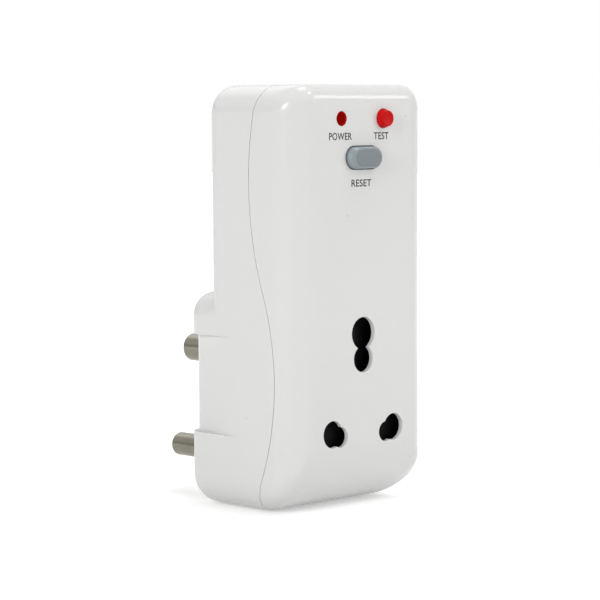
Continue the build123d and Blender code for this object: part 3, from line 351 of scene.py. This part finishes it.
class Paint(Nodes):
    """A material with one principled shader."""

    def __init__(self, name, base, roughness, **constants):
        self.material = bpy.data.materials.new(name)
        self.material.use_nodes = True
        self.material.diffuse_color = (*base, 1)
        super().__init__(self.material.node_tree)
        self.shader = self.tree.nodes["Principled BSDF"]
        self.set("Base Color", (*base, 1))
        self.set("Roughness", roughness)
        for entry, value in constants.items():
            self.set(entry.replace("_", " ").title().replace("Ior", "IOR"), value)
        self.place, self.x, self.y, self.z = self.axes("Object")

    def set(self, entry, value):
        self.feed(self.shader.inputs[entry], value)

    def noise(self, scale, detail, stretch=(1, 1, 1)):
        """Soft noise from 0 to 1; scale is how many features fit in a metre."""
        terms = {0: self.place, 1: stretch}
        place = self.output("ShaderNodeVectorMath", {"operation": "MULTIPLY"}, terms)
        entries = {"Vector": place, "Scale": scale, "Detail": detail}
        return self.output("ShaderNodeTexNoise", {}, entries, "Fac")

    def cells(self, scale):
        """Distance to the nearest of many scattered points."""
        entries = {"Vector": self.place, "Scale": scale}
        return self.output("ShaderNodeTexVoronoi", {}, entries, "Distance")

    def blend(self, factor, first, second):
        """A colour between two colours."""
        entries = {0: factor}
        for place, value in ((6, first), (7, second)):
            entries[place] = (*value, 1) if isinstance(value, tuple) else value
        return self.output("ShaderNodeMix", {"data_type": "RGBA"}, entries, 2)

    def relief(self, height, distance, strength):
        """Feeds the shader's normal with a bump of this height."""
        entries = {"Height": height, "Distance": distance, "Strength": strength}
        self.set("Normal", self.output("ShaderNodeBump", {}, entries, "Normal"))


def tinted(base, factor):
    """The colour made lighter or darker by a factor."""
    return tuple(min(1, part * factor) for part in base)


def moulded(name, base, roughness, grain=0.5, **constants):
    """Moulded plastic: a faint cloudiness, a fine grain and a few tiny specks."""
    paint = Paint(name, base, roughness, **constants)
    cloud = paint.noise(scale=38, detail=3)
    fine = paint.noise(scale=900, detail=2)
    specks = (0.055 - paint.cells(scale=150)).above(0) * paint.noise(scale=60, detail=1).above(0.56)
    tone = paint.blend(cloud, tinted(base, 0.985), tinted(base, 1.012))
    tone = paint.blend(specks * 0.3, tone, tinted(base, 0.55))
    paint.set("Base Color", tone)
    paint.set("Roughness", roughness - 0.04 + 0.05 * fine + 0.05 * cloud)
    paint.relief(fine + 0.6 * paint.noise(scale=160, detail=2), distance=0.00002 * grain, strength=0.6)
    return paint.material


def metal(name, base, roughness, stretch=(1, 1, 1), grain=1.0, dull=0.12):
    """Bare or plated metal with drawing lines along or across it and a faint tarnish."""
    paint = Paint(name, base, roughness, metallic=1.0)
    lines = paint.noise(scale=700, detail=3, stretch=stretch)
    stain = paint.noise(scale=130, detail=4)
    tone = paint.blend(stain.band(0.35, 0.75), tinted(base, 1.04), tinted(base, 1 - dull))
    paint.set("Base Color", tone)
    paint.set("Roughness", roughness - 0.07 + 0.12 * lines + 0.08 * stain)
    paint.relief(lines, distance=0.00001 * grain, strength=0.7)
    return paint.material


def printed_board(name, base):
    """A circuit board: solder mask over faint crossing copper tracks."""
    paint = Paint(name, base, 0.32)
    across = (paint.x * 1250 + 6 * paint.noise(scale=70, detail=0)).sine()
    along = (paint.z * 900 + 7 * paint.noise(scale=50, detail=0)).sine()
    tracks = across.most(along).band(0.55, 0.8)
    paint.set("Base Color", paint.blend(tracks, base, tinted(base, 1.7)))
    paint.relief(tracks, distance=0.00003, strength=0.6)
    return paint.material


def grey_with_painted_highlight(name, base):
    """Grey plastic whose rounded shoulder is painted lighter than its flat top, a painted highlight.
    """
    paint = Paint(name, base, 0.3, specular_ior_level=0.45)
    cloud = paint.noise(scale=60, detail=2)
    fine = paint.noise(scale=1100, detail=2)
    below = paint.y - (group("case").front - group("controls").reset_proud)
    # The shoulder's mask: the rounded shoulder gets a painted highlight, 1.45 times lighter than the
    # top
    shoulder = below.band(0.03 * MM, 0.12 * MM) * (1 - below.band(1.6 * MM, 2.5 * MM))
    top = paint.blend(cloud, tinted(base, 0.97), tinted(base, 1.03))
    paint.set("Base Color", paint.blend(shoulder, top, tinted(base, 1.45)))
    paint.set("Roughness", 0.26 + 0.06 * fine)
    paint.relief(fine, distance=0.000004, strength=0.5)
    return paint.material


def wound_copper(name, base):
    """Fine wire wound round the coil, with painted shade in the grooves between its turns."""
    paint = Paint(name, base, 0.3, metallic=1.0)
    turns = (paint.x * 21000).sine()
    # Painted shade: the copper is darkened in the grooves between the turns
    paint.set("Base Color", paint.blend(turns.band(-1, 0.2), tinted(base, 0.45), base))
    paint.relief(turns, distance=0.00006, strength=0.8)
    return paint.material


def clear_red(name, base):
    """A red lens whose rim is painted lighter than its deeper middle: painted light through the lens's
    edge.
    """
    paint = Paint(name, base, 0.2, specular_ior_level=0.0)
    controls = group("controls")
    away = (paint.x + controls.across) ** 2 + (paint.z - controls.height) ** 2
    # Painted light: the rim is painted a brighter red than the middle
    painted_rim_light = (away**0.5 / controls.lamp_radius).band(0.55, 0.98)
    facets = paint.cells(scale=1500)
    tone = paint.blend(painted_rim_light, base, (min(1, base[0] * 1.9), 0.006, 0.002))
    paint.set("Base Color", paint.blend(facets * 0.25, tone, tinted(base, 0.5)))
    paint.relief(facets, distance=0.00003, strength=0.4)
    return paint.material


def ink(name, base):
    """Printed ink with slightly uneven cover."""
    paint = Paint(name, base, 0.5)
    cover = paint.noise(scale=2500, detail=3)
    paint.set("Base Color", paint.blend(cover.band(0.3, 0.8), tinted(base, 0.9), tinted(base, 1.6)))
    paint.set("Roughness", 0.42 + 0.2 * cover)
    return paint.material


def banded_can(name, base):
    """A capacitor's sleeved can with a lighter stripe along it."""
    paint = Paint(name, base, 0.35)
    middle = 19.6 * MM
    beside = (paint.x - middle).size().band(0.0012, 0.0014)
    paint.set("Base Color", paint.blend(beside, look("stripe"), base))
    paint.set("Roughness", 0.3 + 0.1 * paint.noise(scale=400, detail=2))
    return paint.material


material_cache = {}


def material(slot):
    """The material for one of the record's slots, made once."""
    if slot in material_cache:
        return material_cache[slot]
    makers = {
        "shell_white": lambda: moulded(
            slot, look("shell"), group("looks").shell_roughness, specular_ior_level=0.45
        ),
        "plated_pin": lambda: metal(slot, look("nickel"), 0.2, (0.3, 8, 0.3)),
        "steel": lambda: metal(slot, look("steel"), 0.34),
        "brass": lambda: metal(slot, look("brass"), 0.3, (3, 3, 0.4)),
        "copper": lambda: wound_copper(slot, look("copper")),
        "contact_silver": lambda: metal(slot, look("silver"), 0.25, dull=0.25),
        "red_plastic": lambda: moulded(slot, look("red"), 0.3, specular_ior_level=0.05),
        "grey_plastic": lambda: grey_with_painted_highlight(slot, look("grey")),
        "red_lens": lambda: clear_red(slot, look("lens")),
        "dark_plastic": lambda: moulded(
            slot, look("dark"), 0.5, grain=1.5, specular_ior_level=0.15
        ),
        # The shutter is a darker copy of the dark plastic: painted shade deep in the socket holes
        "shutter_plastic": lambda: moulded(
            slot, tinted(look("dark"), 0.8), 0.55, grain=1.5, specular_ior_level=0.1
        ),
        "natural_plastic": lambda: moulded(slot, look("natural"), 0.45),
        "board": lambda: printed_board(slot, look("board")),
        "blue_coat": lambda: moulded(slot, look("blue"), 0.4, grain=2),
        "tan_coat": lambda: moulded(slot, look("tan"), 0.45, grain=2),
        "can": lambda: banded_can(slot, look("can")),
        "ink": lambda: ink(slot, look("print")),
    }
    material_cache[slot] = makers[slot]()
    return material_cache[slot]


def dress(obj, slot):
    """Gives an object one material."""
    obj.data.materials.clear()
    obj.data.materials.append(material(slot))


# Mesh helpers; points are in metres
def new_object(name, mesh_maker):
    """A new object whose mesh is filled by the maker."""
    mesh = bpy.data.meshes.new(name)
    work = bmesh.new()
    mesh_maker(work)
    bmesh.ops.recalc_face_normals(work, faces=work.faces)
    work.to_mesh(mesh)
    work.free()
    obj = bpy.data.objects.new(name, mesh)
    bpy.context.scene.collection.objects.link(obj)
    return obj


def loft(work, rings):
    """Joins rings of equally many points with quads and closes both ends."""
    loops = [[work.verts.new(point) for point in ring] for ring in rings]
    for near, far in zip(loops, loops[1:]):
        for i in range(len(near)):
            j = (i + 1) % len(near)
            work.faces.new((near[i], near[j], far[j], far[i]))
    work.faces.new(loops[0])
    work.faces.new(loops[-1])


def circle(x, z, radius, count=64):
    """Points of a circle across the depth axis."""
    turns = [2 * math.pi * i / count for i in range(count)]
    return [(x + radius * math.cos(t), z + radius * math.sin(t)) for t in turns]


def stadium(x, z, total, width, count=24):
    """Points of a bar with round ends."""
    radius = width / 2
    reach = total / 2 - radius
    points = []
    for side, start in ((1, -math.pi / 2), (-1, math.pi / 2)):
        for i in range(count + 1):
            t = start + math.pi * i / count
            points.append((x + side * reach + radius * math.cos(t), z + radius * math.sin(t)))
    return points


def joined_circles(first, second, count=48):
    """Outline of two overlapping circles, each given as x, z and radius."""
    (x1, z1, r1), (x2, z2, r2) = first, second
    apart = math.hypot(x2 - x1, z2 - z1)
    aim = math.atan2(z2 - z1, x2 - x1)
    half1 = math.acos((apart**2 + r1**2 - r2**2) / (2 * apart * r1))
    half2 = math.acos((apart**2 + r2**2 - r1**2) / (2 * apart * r2))
    points = []
    for x, z, r, middle, half in (
        (x1, z1, r1, aim + math.pi, math.pi - half1),
        (x2, z2, r2, aim, math.pi - half2),
    ):
        steps = range(count + 1) if (x, z) == (x1, z1) else range(1, count)
        for i in steps:
            t = middle - half + 2 * half * i / count
            points.append((x + r * math.cos(t), z + r * math.sin(t)))
    return points


def prism(name, outline, near, far, axis=1):
    """A cutter: an outline of the two other coordinates between two places on an axis."""
    rings = [[(*point[:axis], place, *point[axis:]) for point in outline] for place in (near, far)]
    return new_object(name, lambda work: loft(work, rings))


def baked(obj):
    """Bakes an object's modifiers into its mesh."""
    graph = bpy.context.evaluated_depsgraph_get()
    made = bpy.data.meshes.new_from_object(obj.evaluated_get(graph))
    old = obj.data
    obj.modifiers.clear()
    obj.data = made
    made.name = obj.name
    bpy.data.meshes.remove(old)


def carve(obj, cutters, operation="DIFFERENCE"):
    """Cuts the object with each cutter, or adds each, and deletes the cutters."""
    for cutter in cutters:
        change = obj.modifiers.new("carve", "BOOLEAN")
        change.operation = operation
        change.solver = "EXACT"
        change.object = cutter
        bpy.context.view_layer.update()
        baked(obj)
        bpy.data.objects.remove(cutter)


def soften(obj, width, segments=3, angle=35):
    """Rounds the sharp edges and evens the shading of flat faces."""
    bevel = obj.modifiers.new("bevel", "BEVEL")
    bevel.width = width
    bevel.segments = segments
    bevel.limit_method = "ANGLE"
    bevel.angle_limit = math.radians(angle)
    bevel.miter_outer = "MITER_ARC"
    bevel.use_clamp_overlap = True
    bpy.context.view_layer.update()
    baked(obj)
    smooth(obj)


def smooth(obj):
    """Shades the object smooth, with flat faces kept flat."""
    for face in obj.data.polygons:
        face.use_smooth = True
    obj.data.set_sharp_from_angle(angle=math.radians(42))
    even = obj.modifiers.new("even", "WEIGHTED_NORMAL")
    even.keep_sharp = True
    even.weight = 80


# The case's form
def drawn_in(radius, depth):
    """How far an edge rounding has drawn in at this depth."""
    if depth >= radius:
        return 0
    return radius - math.sqrt(radius**2 - (radius - depth) ** 2)


def rounded_outline(side, low, high, low_corner, high_corner, count=14):
    """Points of an upright box outline with rounded corners."""
    points = []
    for x, z, radius, start in (
        (side, high, high_corner, 0),
        (-side, high, high_corner, 90),
        (-side, low, low_corner, 180),
        (side, low, low_corner, 270),
    ):
        middle_x = x - math.copysign(radius, x)
        middle_z = z - radius if z == high else z + radius
        for i in range(count + 1):
            t = math.radians(start + 90 * i / count)
            points.append((middle_x + radius * math.cos(t), middle_z + radius * math.sin(t)))
    return points


def case_rings(inset):
    """Rings of points down the case from its front face to its back."""
    case = group("case")
    front = case.front + inset
    back = case.back - inset
    top_round = case.top_round - inset
    side_round = case.side_round - inset
    bottom_round = case.bottom_round - inset
    back_round = case.back_round - inset
    stops = [0, top_round, side_round, bottom_round]
    depths = [0]
    for near, far in zip(stops, stops[1:]):
        for i in range(1, ROUND_STEPS + 1):
            depths.append(near + (far - near) * (1 - math.cos(math.pi * i / ROUND_STEPS / 2)))
    rings = []
    for depth in depths:
        top_in = drawn_in(top_round, depth)
        side_in = drawn_in(side_round, depth)
        bottom_in = drawn_in(bottom_round, depth)
        outline = rounded_outline(
            case.width / 2 - inset - side_in,
            case.bottom + inset + bottom_in,
            case.top - inset - top_in,
            max(case.bottom_corner - inset - (bottom_in + side_in) / 2, case.least_corner),
            max(case.top_corner - inset - (top_in + side_in) / 2, case.least_corner),
        )
        rings.append([(x, front + depth, z) for x, z in outline])
    return rings + rear_rings(
        inset, case.bottom, case.top, case.bottom_corner, case.top_corner, back, back_round
    )


def rear_rings(inset, low, high, low_corner, high_corner, back, radius):
    """Rings of points over the rounding of a rear edge."""
    side = group("case").width / 2 - inset
    least = 0.0003
    rings = []
    for i in range(ROUND_STEPS + 1):
        t = math.pi / 2 * i / ROUND_STEPS
        drawn = radius * (1 - math.cos(t))
        outline = rounded_outline(
            side - drawn,
            low + inset + drawn,
            high - inset - drawn,
            max(low_corner - inset - drawn, least),
            max(high_corner - inset - drawn, least),
        )
        rings.append([(x, back - radius + radius * math.sin(t), z) for x, z in outline])
    return rings


def case_block(name, inset):
    """The case without the plug block, drawn in on all sides."""
    return new_object(name, lambda work: loft(work, case_rings(inset)))


def plug_block(name, inset):
    """The plug block, reaching forward into the case."""
    case = group("case")
    start = case.back - case.back_round - inset
    rings = rear_rings(
        inset, case.bottom, case.plug_top, case.bottom_corner, case.plug_corner, -inset,
        case.back_round - inset,
    )
    first = [(x, start, z) for x, _, z in rings[0]]
    return new_object(name, lambda work: loft(work, [first, *rings]))


def seam_line(shift):
    """Points of y and z along the parting line: two tangent arcs."""
    case = group("case")
    (upper_height, upper_depth), (lower_height, lower_depth) = SEAM_UPPER, SEAM_LOWER
    upper_z, lower_z = case.bottom + upper_height, case.bottom + lower_height
    rise, run = upper_depth - lower_depth, upper_z - lower_z
    radii = (rise**2 + run**2) / (2 * rise)
    upper_radius = radii * SEAM_SHARE
    lower_radius = radii - upper_radius
    upper_centre = case.front + upper_depth - upper_radius
    lower_centre = case.front + lower_depth + lower_radius
    join_z = upper_z - run * SEAM_SHARE
    count = 110
    top, bottom = case.top + MM, case.bottom - MM
    points = []
    for i in range(count + 1):
        z = top + (bottom - top) * i / count
        if z >= join_z:
            y = upper_centre + math.sqrt(upper_radius**2 - (z - upper_z) ** 2)
        else:
            y = lower_centre - math.sqrt(lower_radius**2 - (z - lower_z) ** 2)
        points.append((y + shift, z))
    return points


def seam_cutter(name, shift, far):
    """A cutter that takes away everything between the parting line and a depth."""
    line = seam_line(shift)
    reach = 35 * MM
    return prism(name, [*line, (far, line[-1][1]), (far, line[0][1])], -reach, reach, axis=0)


def finish_piece(obj, body, node, slot):
    """Dresses a piece, makes it ride on its body and stand for its solid."""
    dress(obj, slot)
    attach(obj, body)
    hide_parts(node)


class ADAPTER_OT_front_shell(bpy.types.Operator):
    """Builds the front shell: rounded face, socket holes and openings for the controls"""

    bl_idname = "adapter.front_shell"
    bl_label = "Front shell"

    def execute(self, context):
        case, controls = group("case"), group("controls")
        shell = case_block("front_shell_moulding", 0)
        before, after = case.front - MM, case.front + case.wall + MM
        cavity = case_block("cavity", case.wall)
        cutters = [cavity, seam_cutter("behind", -case.seam_gap / 2, 5 * MM)]
        for start, more in ((before, 0), (case.front + HOLE_RIM, HOLE_RELIEF)):
            for side, pair in ((1, EARTH_HOLES), (-1, SIDE_HOLES), (1, SIDE_HOLES)):
                circles = [(side * x * MM, z * MM, radius * MM + more) for x, z, radius in pair]
                cutters.append(prism("holes", joined_circles(*circles), start, after))
        collar = controls.test_collar + COLLAR_GAP
        lens = controls.lamp_radius + LAMP_GAP
        gap = 2 * controls.gap
        cutters.append(prism("test", circle(controls.across, controls.height, collar), before, after))
        cutters.append(prism("lamp", circle(-controls.across, controls.height, lens), before, after))
        reset = stadium(
            0, controls.reset_height, controls.reset_length + gap, controls.reset_width + gap
        )
        cutters.append(prism("reset", reset, before, after))
        carve(shell, cutters)
        soften(shell, case.edge)
        finish_piece(shell, "chassis", "front_shell", "shell_white")
        return {"FINISHED"}


class ADAPTER_OT_rear_shell(bpy.types.Operator):
    """Builds the rear shell: plug block, scooped grips and screw wells"""

    bl_idname = "adapter.rear_shell"
    bl_label = "Rear shell"

    def execute(self, context):
        case = group("case")
        half = case.width / 2
        screws = [(side * SCREW_ACROSS, z) for side in (-1, 1) for z in SCREW_HEIGHTS]
        shell = case_block("rear_shell_moulding", 0)
        carve(shell, [plug_block("plug", 0)], "UNION")
        hollow = case_block("hollow", case.wall)
        carve(hollow, [plug_block("plug_hollow", case.plug_wall)], "UNION")
        pads = []
        for side in (-1, 1):
            outline = [
                (side * (half + MM), -case.grip_length),
                (side * (half - case.wall), -case.grip_length),
                (side * (half - case.grip_wall - case.grip_depth), 0),
                (side * (half - case.grip_wall - case.grip_depth), MM),
                (side * (half + MM), MM),
            ]
            low = case.grip_bottom - case.grip_wall
            high = low + case.grip_height + 2 * case.grip_wall
            pads.append(prism("pad", outline, low, high, axis=2))
        post_front, bore_front, well_front, seat_front = -24 * MM, -25 * MM, -18 * MM, -4 * MM
        posts = [prism("post", circle(x, z, SCREW_POST, 48), post_front, MM) for x, z in screws]
        carve(hollow, pads + posts)
        cutters = [hollow, seam_cutter("before", case.seam_gap / 2, case.front - 5 * MM)]
        turn_x = half - case.grip_turn
        end_x = turn_x - case.grip_round
        bow_steps = 16
        turns = [math.pi / 2 * i / bow_steps for i in range(bow_steps + 1)]
        bow = [
            (end_x + case.grip_round * math.cos(t), case.grip_round * (math.sin(t) - 1)) for t in turns
        ]
        outer = [(end_x, MM), (half + MM, MM), (half + MM, -case.grip_length)]
        for side in (-1, 1):
            outline = [(side * x, y) for x, y in [(half, -case.grip_length), *bow, *outer]]
            top = case.grip_bottom + case.grip_height
            cutters.append(prism("scoop", outline, case.grip_bottom, top, axis=2))
        for x, z in screws:
            cutters.append(prism("well", circle(x, z, SCREW_WELL, 48), well_front, MM))
            cutters.append(prism("through", circle(x, z, SCREW_BORE, 32), bore_front, MM))
        for x, z, radius in PINS:
            seat = circle(x * MM, z * MM, (radius + PIN_GAP) * MM)
            cutters.append(prism("seat", seat, seat_front, MM))
        carve(shell, cutters)
        soften(shell, case.edge)
        finish_piece(shell, "chassis", "rear_shell", "shell_white")
        return {"FINISHED"}


def turned(x, z, profile, count):
    """Rings of points round a depth axis, one for each radius and depth."""
    return [[(px, y, pz) for px, pz in circle(x, z, r, count)] for r, y in profile]


def lathe(name, x, z, profile, count=72):
    """A turned piece from radius and depth pairs, closed at both ends."""
    rings = turned(x, z, profile, count)
    return new_object(name, lambda work: loft(work, rings))


def arc(radius, depth, round_radius, start, end, steps=6):
    """Radius and depth pairs over a rounded shoulder; angles are in degrees."""
    pairs = []
    for i in range(steps + 1):
        t = math.radians(start + (end - start) * i / steps)
        pairs.append((radius + round_radius * math.cos(t), depth + round_radius * math.sin(t)))
    return pairs


class ADAPTER_OT_test_button(bpy.types.Operator):
    """Builds the TEST button with its collar, dished cap, flange and stem"""

    bl_idname = "adapter.test_button"
    bl_label = "TEST button"

    def execute(self, context):
        case, controls = group("case"), group("controls")
        face = case.front
        _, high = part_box("test_button")
        cap, collar = controls.test_radius, controls.test_collar
        tip = face - controls.test_proud
        shoulder = face - controls.collar_proud
        edge, small = 0.35 * MM, 0.2 * MM
        dish_depth, dish_edge_squared = 0.16 * MM, 0.64
        dish = [
            (cap * s, tip + dish_depth * (1 - s**2 / dish_edge_squared))
            for s in (0.02, 0.25, 0.45, 0.62, 0.74)
        ]
        flange_front = face + case.wall + FLANGE_GAP
        flange_back = flange_front + MM
        wide = collar + FLANGE
        profile = [
            *dish,
            *arc(cap - edge, tip + edge, edge, -90, 0),
            (cap, shoulder - small),
            *arc(collar - small, shoulder + small, small, -90, 0),
            (collar, flange_front),
            (wide, flange_front),
            (wide, flange_back),
            (TEST_STEM, flange_back),
            (TEST_STEM, high.y),
        ]
        button = lathe("test_cap", controls.across, controls.height, profile)
        smooth(button)
        finish_piece(button, "test_push", "test_button", "red_plastic")
        return {"FINISHED"}


class ADAPTER_OT_reset_button(bpy.types.Operator):
    """Builds the RESET button with its rounded edge, flange and stem"""

    bl_idname = "adapter.reset_button"
    bl_label = "RESET button"

    def execute(self, context):
        case, controls = group("case"), group("controls")
        long, wide = controls.reset_length, controls.reset_width
        tip = case.front - controls.reset_proud
        flange_front = case.front + case.wall + FLANGE_GAP
        flange_back = flange_front + MM
        _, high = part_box("reset_button")
        end_reach, side_reach, shoulder_start = 1.55, 0.55, 0.1 * MM
        steps = [(1.9, tip), (1.12, tip), (1.02, tip + 0.03 * MM)]
        for i in range(ROUND_STEPS + 1):
            rise = 1 - i / ROUND_STEPS
            y = tip + shoulder_start + (1 - rise) * controls.reset_round * 1.2
            steps.append((rise**2.1 * 0.95, y))
        places = [(drawn * end_reach * MM, drawn * side_reach * MM, y) for drawn, y in steps]
        places.append((0, 0, flange_front))
        places += [(-FLANGE, -FLANGE, y) for y in (flange_front, flange_back)]
        rings = []
        for ends, sides, y in places:
            outline = stadium(0, controls.reset_height, long - 2 * ends, wide - 2 * sides)
            rings.append([(x, y, z) for x, z in outline])
        full, neck = RESET_STEM, 1.3 * MM
        neck_front, neck_back = -22.0 * MM, -21.1 * MM
        stem = [
            (full, flange_back),
            (full, neck_front),
            (neck, neck_front),
            (neck, neck_back),
            (full, neck_back),
            (full, high.y),
        ]

        def build(work):
            loft(work, rings)
            loft(work, turned(0, controls.reset_height, stem, 48))

        button = new_object("reset_cap", build)
        smooth(button)
        finish_piece(button, "reset_push", "reset_button", "grey_plastic")
        return {"FINISHED"}


class ADAPTER_OT_lamp(bpy.types.Operator):
    """Builds the lamp's domed lens"""

    bl_idname = "adapter.lamp"
    bl_label = "Power lamp"

    def execute(self, context):
        case, controls = group("case"), group("controls")
        radius = controls.lamp_radius
        tip = case.front + controls.lamp_recess
        flange_front = case.front + case.wall
        wide, flange_thickness = radius + FLANGE, 1.1 * MM
        bowl = [(s, 0.28 + 0.3 * s**2) for s in (0.02, 0.2, 0.4, 0.58, 0.72)]
        ridge = [(0.78, 0.46), (0.82, 0.16), (0.87, 0.03), (0.94, 0.0), (1.0, 0.06)]
        profile = [
            *((radius * s, tip + depth * MM) for s, depth in bowl + ridge),
            (radius, flange_front),
            (wide, flange_front),
            (wide, flange_front + flange_thickness),
        ]
        lens = lathe("lamp_dome", -controls.across, controls.height, profile)
        smooth(lens)
        finish_piece(lens, "chassis", "lamp_lens", "red_lens")
        return {"FINISHED"}


class ADAPTER_OT_words(bpy.types.Operator):
    """Prints the words that say what the lamp and the buttons do"""

    bl_idname = "adapter.words"
    bl_label = "Printed words"

    def execute(self, context):
        case, controls = group("case"), group("controls")
        for word, x, z, wide in WORDS:
            text = bpy.data.curves.new("text", "FONT")
            text.body = word
            text.align_x = "CENTER"
            text.align_y = "CENTER"
            text.extrude = 0.01
            text.offset = 0.018
            text.space_character = 1.06
            holder = bpy.data.objects.new("holder", text)
            context.scene.collection.objects.link(holder)
            context.view_layer.update()
            graph = context.evaluated_depsgraph_get()
            mesh = bpy.data.meshes.new_from_object(holder.evaluated_get(graph))
            bpy.data.objects.remove(holder)
            xs = [v.co.x for v in mesh.vertices]
            ys = [v.co.y for v in mesh.vertices]
            size_x, size_y = max(xs) - min(xs), max(ys) - min(ys)
            mid_x, mid_y = max(xs) - size_x / 2, max(ys) - size_y / 2
            for v in mesh.vertices:
                across = (v.co.x - mid_x) / size_x * wide * MM
                up = (v.co.y - mid_y) / size_y * controls.word_height
                depth = case.front - WORD_LIFT - v.co.z * MM
                v.co = (x * MM + across, depth, z * MM + up)
            mesh.update()
            piece = bpy.data.objects.new("word_" + word, mesh)
            context.scene.collection.objects.link(piece)
            dress(piece, "ink")
            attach(piece, "chassis")
        return {"FINISHED"}


class ADAPTER_OT_inner(bpy.types.Operator):
    """Gives the pins and every inner piece its material"""

    bl_idname = "adapter.inner"
    bl_label = "Pins and inner pieces"

    def execute(self, context):
        for part in frame["record"]["subparts"]:
            dress(frame["nodes"][part["node"]], part["material_slot"])
        return {"FINISHED"}


def area_light(name, place, aim, size, power):
    """A soft rectangular light that looks at a point."""
    lamp = bpy.data.lights.new(name, "AREA")
    lamp.shape = "RECTANGLE"
    lamp.size, lamp.size_y = size
    lamp.energy = power
    obj = bpy.data.objects.new(name, lamp)
    obj.location = place
    obj.rotation_euler = (Vector(aim) - Vector(place)).to_track_quat("-Z", "Y").to_euler()
    bpy.context.scene.collection.objects.link(obj)


def make_camera(scene, stage):
    """The camera at its viewing angle."""
    camera = bpy.data.cameras.new("camera")
    camera.lens = stage.focus
    camera.sensor_width = 36
    camera.clip_start, camera.clip_end = 0.01, 20
    eye = bpy.data.objects.new("camera", camera)
    yaw, pitch, roll = stage.yaw, stage.pitch, stage.roll
    back = Vector(
        (math.sin(yaw) * math.cos(pitch), -math.cos(yaw) * math.cos(pitch), math.sin(pitch))
    )
    right = Vector((0, 0, 1)).cross(back).normalized()
    up = back.cross(right)
    side = math.cos(roll) * right + math.sin(roll) * up
    rise = -math.sin(roll) * right + math.cos(roll) * up
    place = Vector((stage.aim_x, stage.aim_y, stage.aim_z)) + back * stage.distance
    turn = Matrix((side, rise, back)).transposed().to_4x4()
    eye.matrix_world = Matrix.Translation(place) @ turn
    scene.collection.objects.link(eye)
    scene.camera = eye


def fill_floor(work):
    """One large square face just under the case."""
    reach = 3
    height = group("case").bottom - 0.0004
    corners = ((-reach, -reach), (reach, -reach), (reach, reach), (-reach, reach))
    work.faces.new([work.verts.new((x, y, height)) for x, y in corners])


def make_floor():
    """A pale floor that shows white far from the object."""
    floor = new_object("floor", fill_floor)
    paint = Paint("floor_white", (0.9, 0.9, 0.9), 0.9)
    camera_ray, other_ray = paint.seen_directly()
    far = (paint.x**2 + paint.y**2) ** 0.5
    share_seen = camera_ray.most(other_ray) * (0.42 + 0.58 * far.band(0.12, 0.8))
    dark, glow = (
        paint.output("ShaderNodeEmission", {}, {"Color": (tone, tone, tone, 1), "Strength": tone})
        for tone in (0.0, 1.0)
    )
    raised = paint.blend_shaders(share_seen, dark, glow)
    shade = Value(paint, paint.shader.outputs[0])
    lit = paint.output("ShaderNodeAddShader", {}, {0: shade, 1: raised})
    paint.feed(paint.tree.nodes["Material Output"].inputs["Surface"], lit)
    floor.data.materials.append(paint.material)


def make_sky(scene):
    """A soft pale surround that shows white, with a thin darker strip in the gloss."""
    world = bpy.data.worlds.new("studio")
    scene.world = world
    world.use_nodes = True
    sky = Nodes(world.node_tree)
    sky.tree.nodes.clear()
    camera_ray, other_ray = sky.seen_directly()
    _, _, depth, height = sky.axes("Generated")
    grey, pale, white = (
        sky.output("ShaderNodeBackground", {}, {"Color": (1, 1, 1, 1), "Strength": strength})
        for strength in (0.1, 0.42, 1.0)
    )
    flag = height.band(0.11, 0.14) * (1 - height.band(0.20, 0.23)) * depth.band(0.3, 0.6)
    soft = sky.blend_shaders(0.35 * (1 - height.band(0.0, 0.7)) + 0.6 * flag, pale, grey)
    shown = camera_ray.most(other_ray * (1 - 0.85 * flag))
    sky.node("ShaderNodeOutputWorld", {}, {"Surface": sky.blend_shaders(shown, soft, white)})


class ADAPTER_OT_stage(bpy.types.Operator):
    """Makes the camera, the floor and the studio light"""

    bl_idname = "adapter.stage"
    bl_label = "Stage"

    def execute(self, context):
        stage = group("stage")
        make_camera(context.scene, stage)
        for name, place, aim, size, power in LAMPS:
            area_light(name, place, aim, size, power * (stage.key if name == "key" else 1))
        make_floor()
        make_sky(context.scene)
        context.scene.view_settings.view_transform = "Standard"
        return {"FINISHED"}


class ADAPTER_PT_panel(bpy.types.Panel):
    """Lists the sizes, the colours and the pieces"""

    bl_label = "Adapter plug"
    bl_idname = "ADAPTER_PT_panel"
    bl_space_type = "VIEW_3D"
    bl_region_type = "UI"
    bl_category = "Adapter"

    def draw(self, context):
        for name in groups:
            box = self.layout.box()
            box.label(text=name.title())
            for prop in groups[name].__annotations__:
                box.prop(group(name), prop)
        for operator in operators:
            self.layout.operator(operator.bl_idname)


groups = {
    "case": AdapterCase,
    "controls": AdapterControls,
    "looks": AdapterLooks,
    "stage": AdapterStage,
}
operators = [
    ADAPTER_OT_stage,
    ADAPTER_OT_inner,
    ADAPTER_OT_front_shell,
    ADAPTER_OT_rear_shell,
    ADAPTER_OT_test_button,
    ADAPTER_OT_reset_button,
    ADAPTER_OT_lamp,
    ADAPTER_OT_words,
]


def register():
    for made in (*groups.values(), *operators, ADAPTER_PT_panel):
        bpy.utils.register_class(made)
    for name, made in groups.items():
        setattr(bpy.types.Scene, "adapter_" + name, bpy.props.PointerProperty(type=made))


def unregister():
    for name in groups:
        delattr(bpy.types.Scene, "adapter_" + name)
    for made in (ADAPTER_PT_panel, *reversed(operators), *groups.values()):
        bpy.utils.unregister_class(made)


def main():
    register()
    for operator in operators:
        area, name = operator.bl_idname.split(".")
        getattr(getattr(bpy.ops, area), name)()


if __name__ == "__main__":
    main()
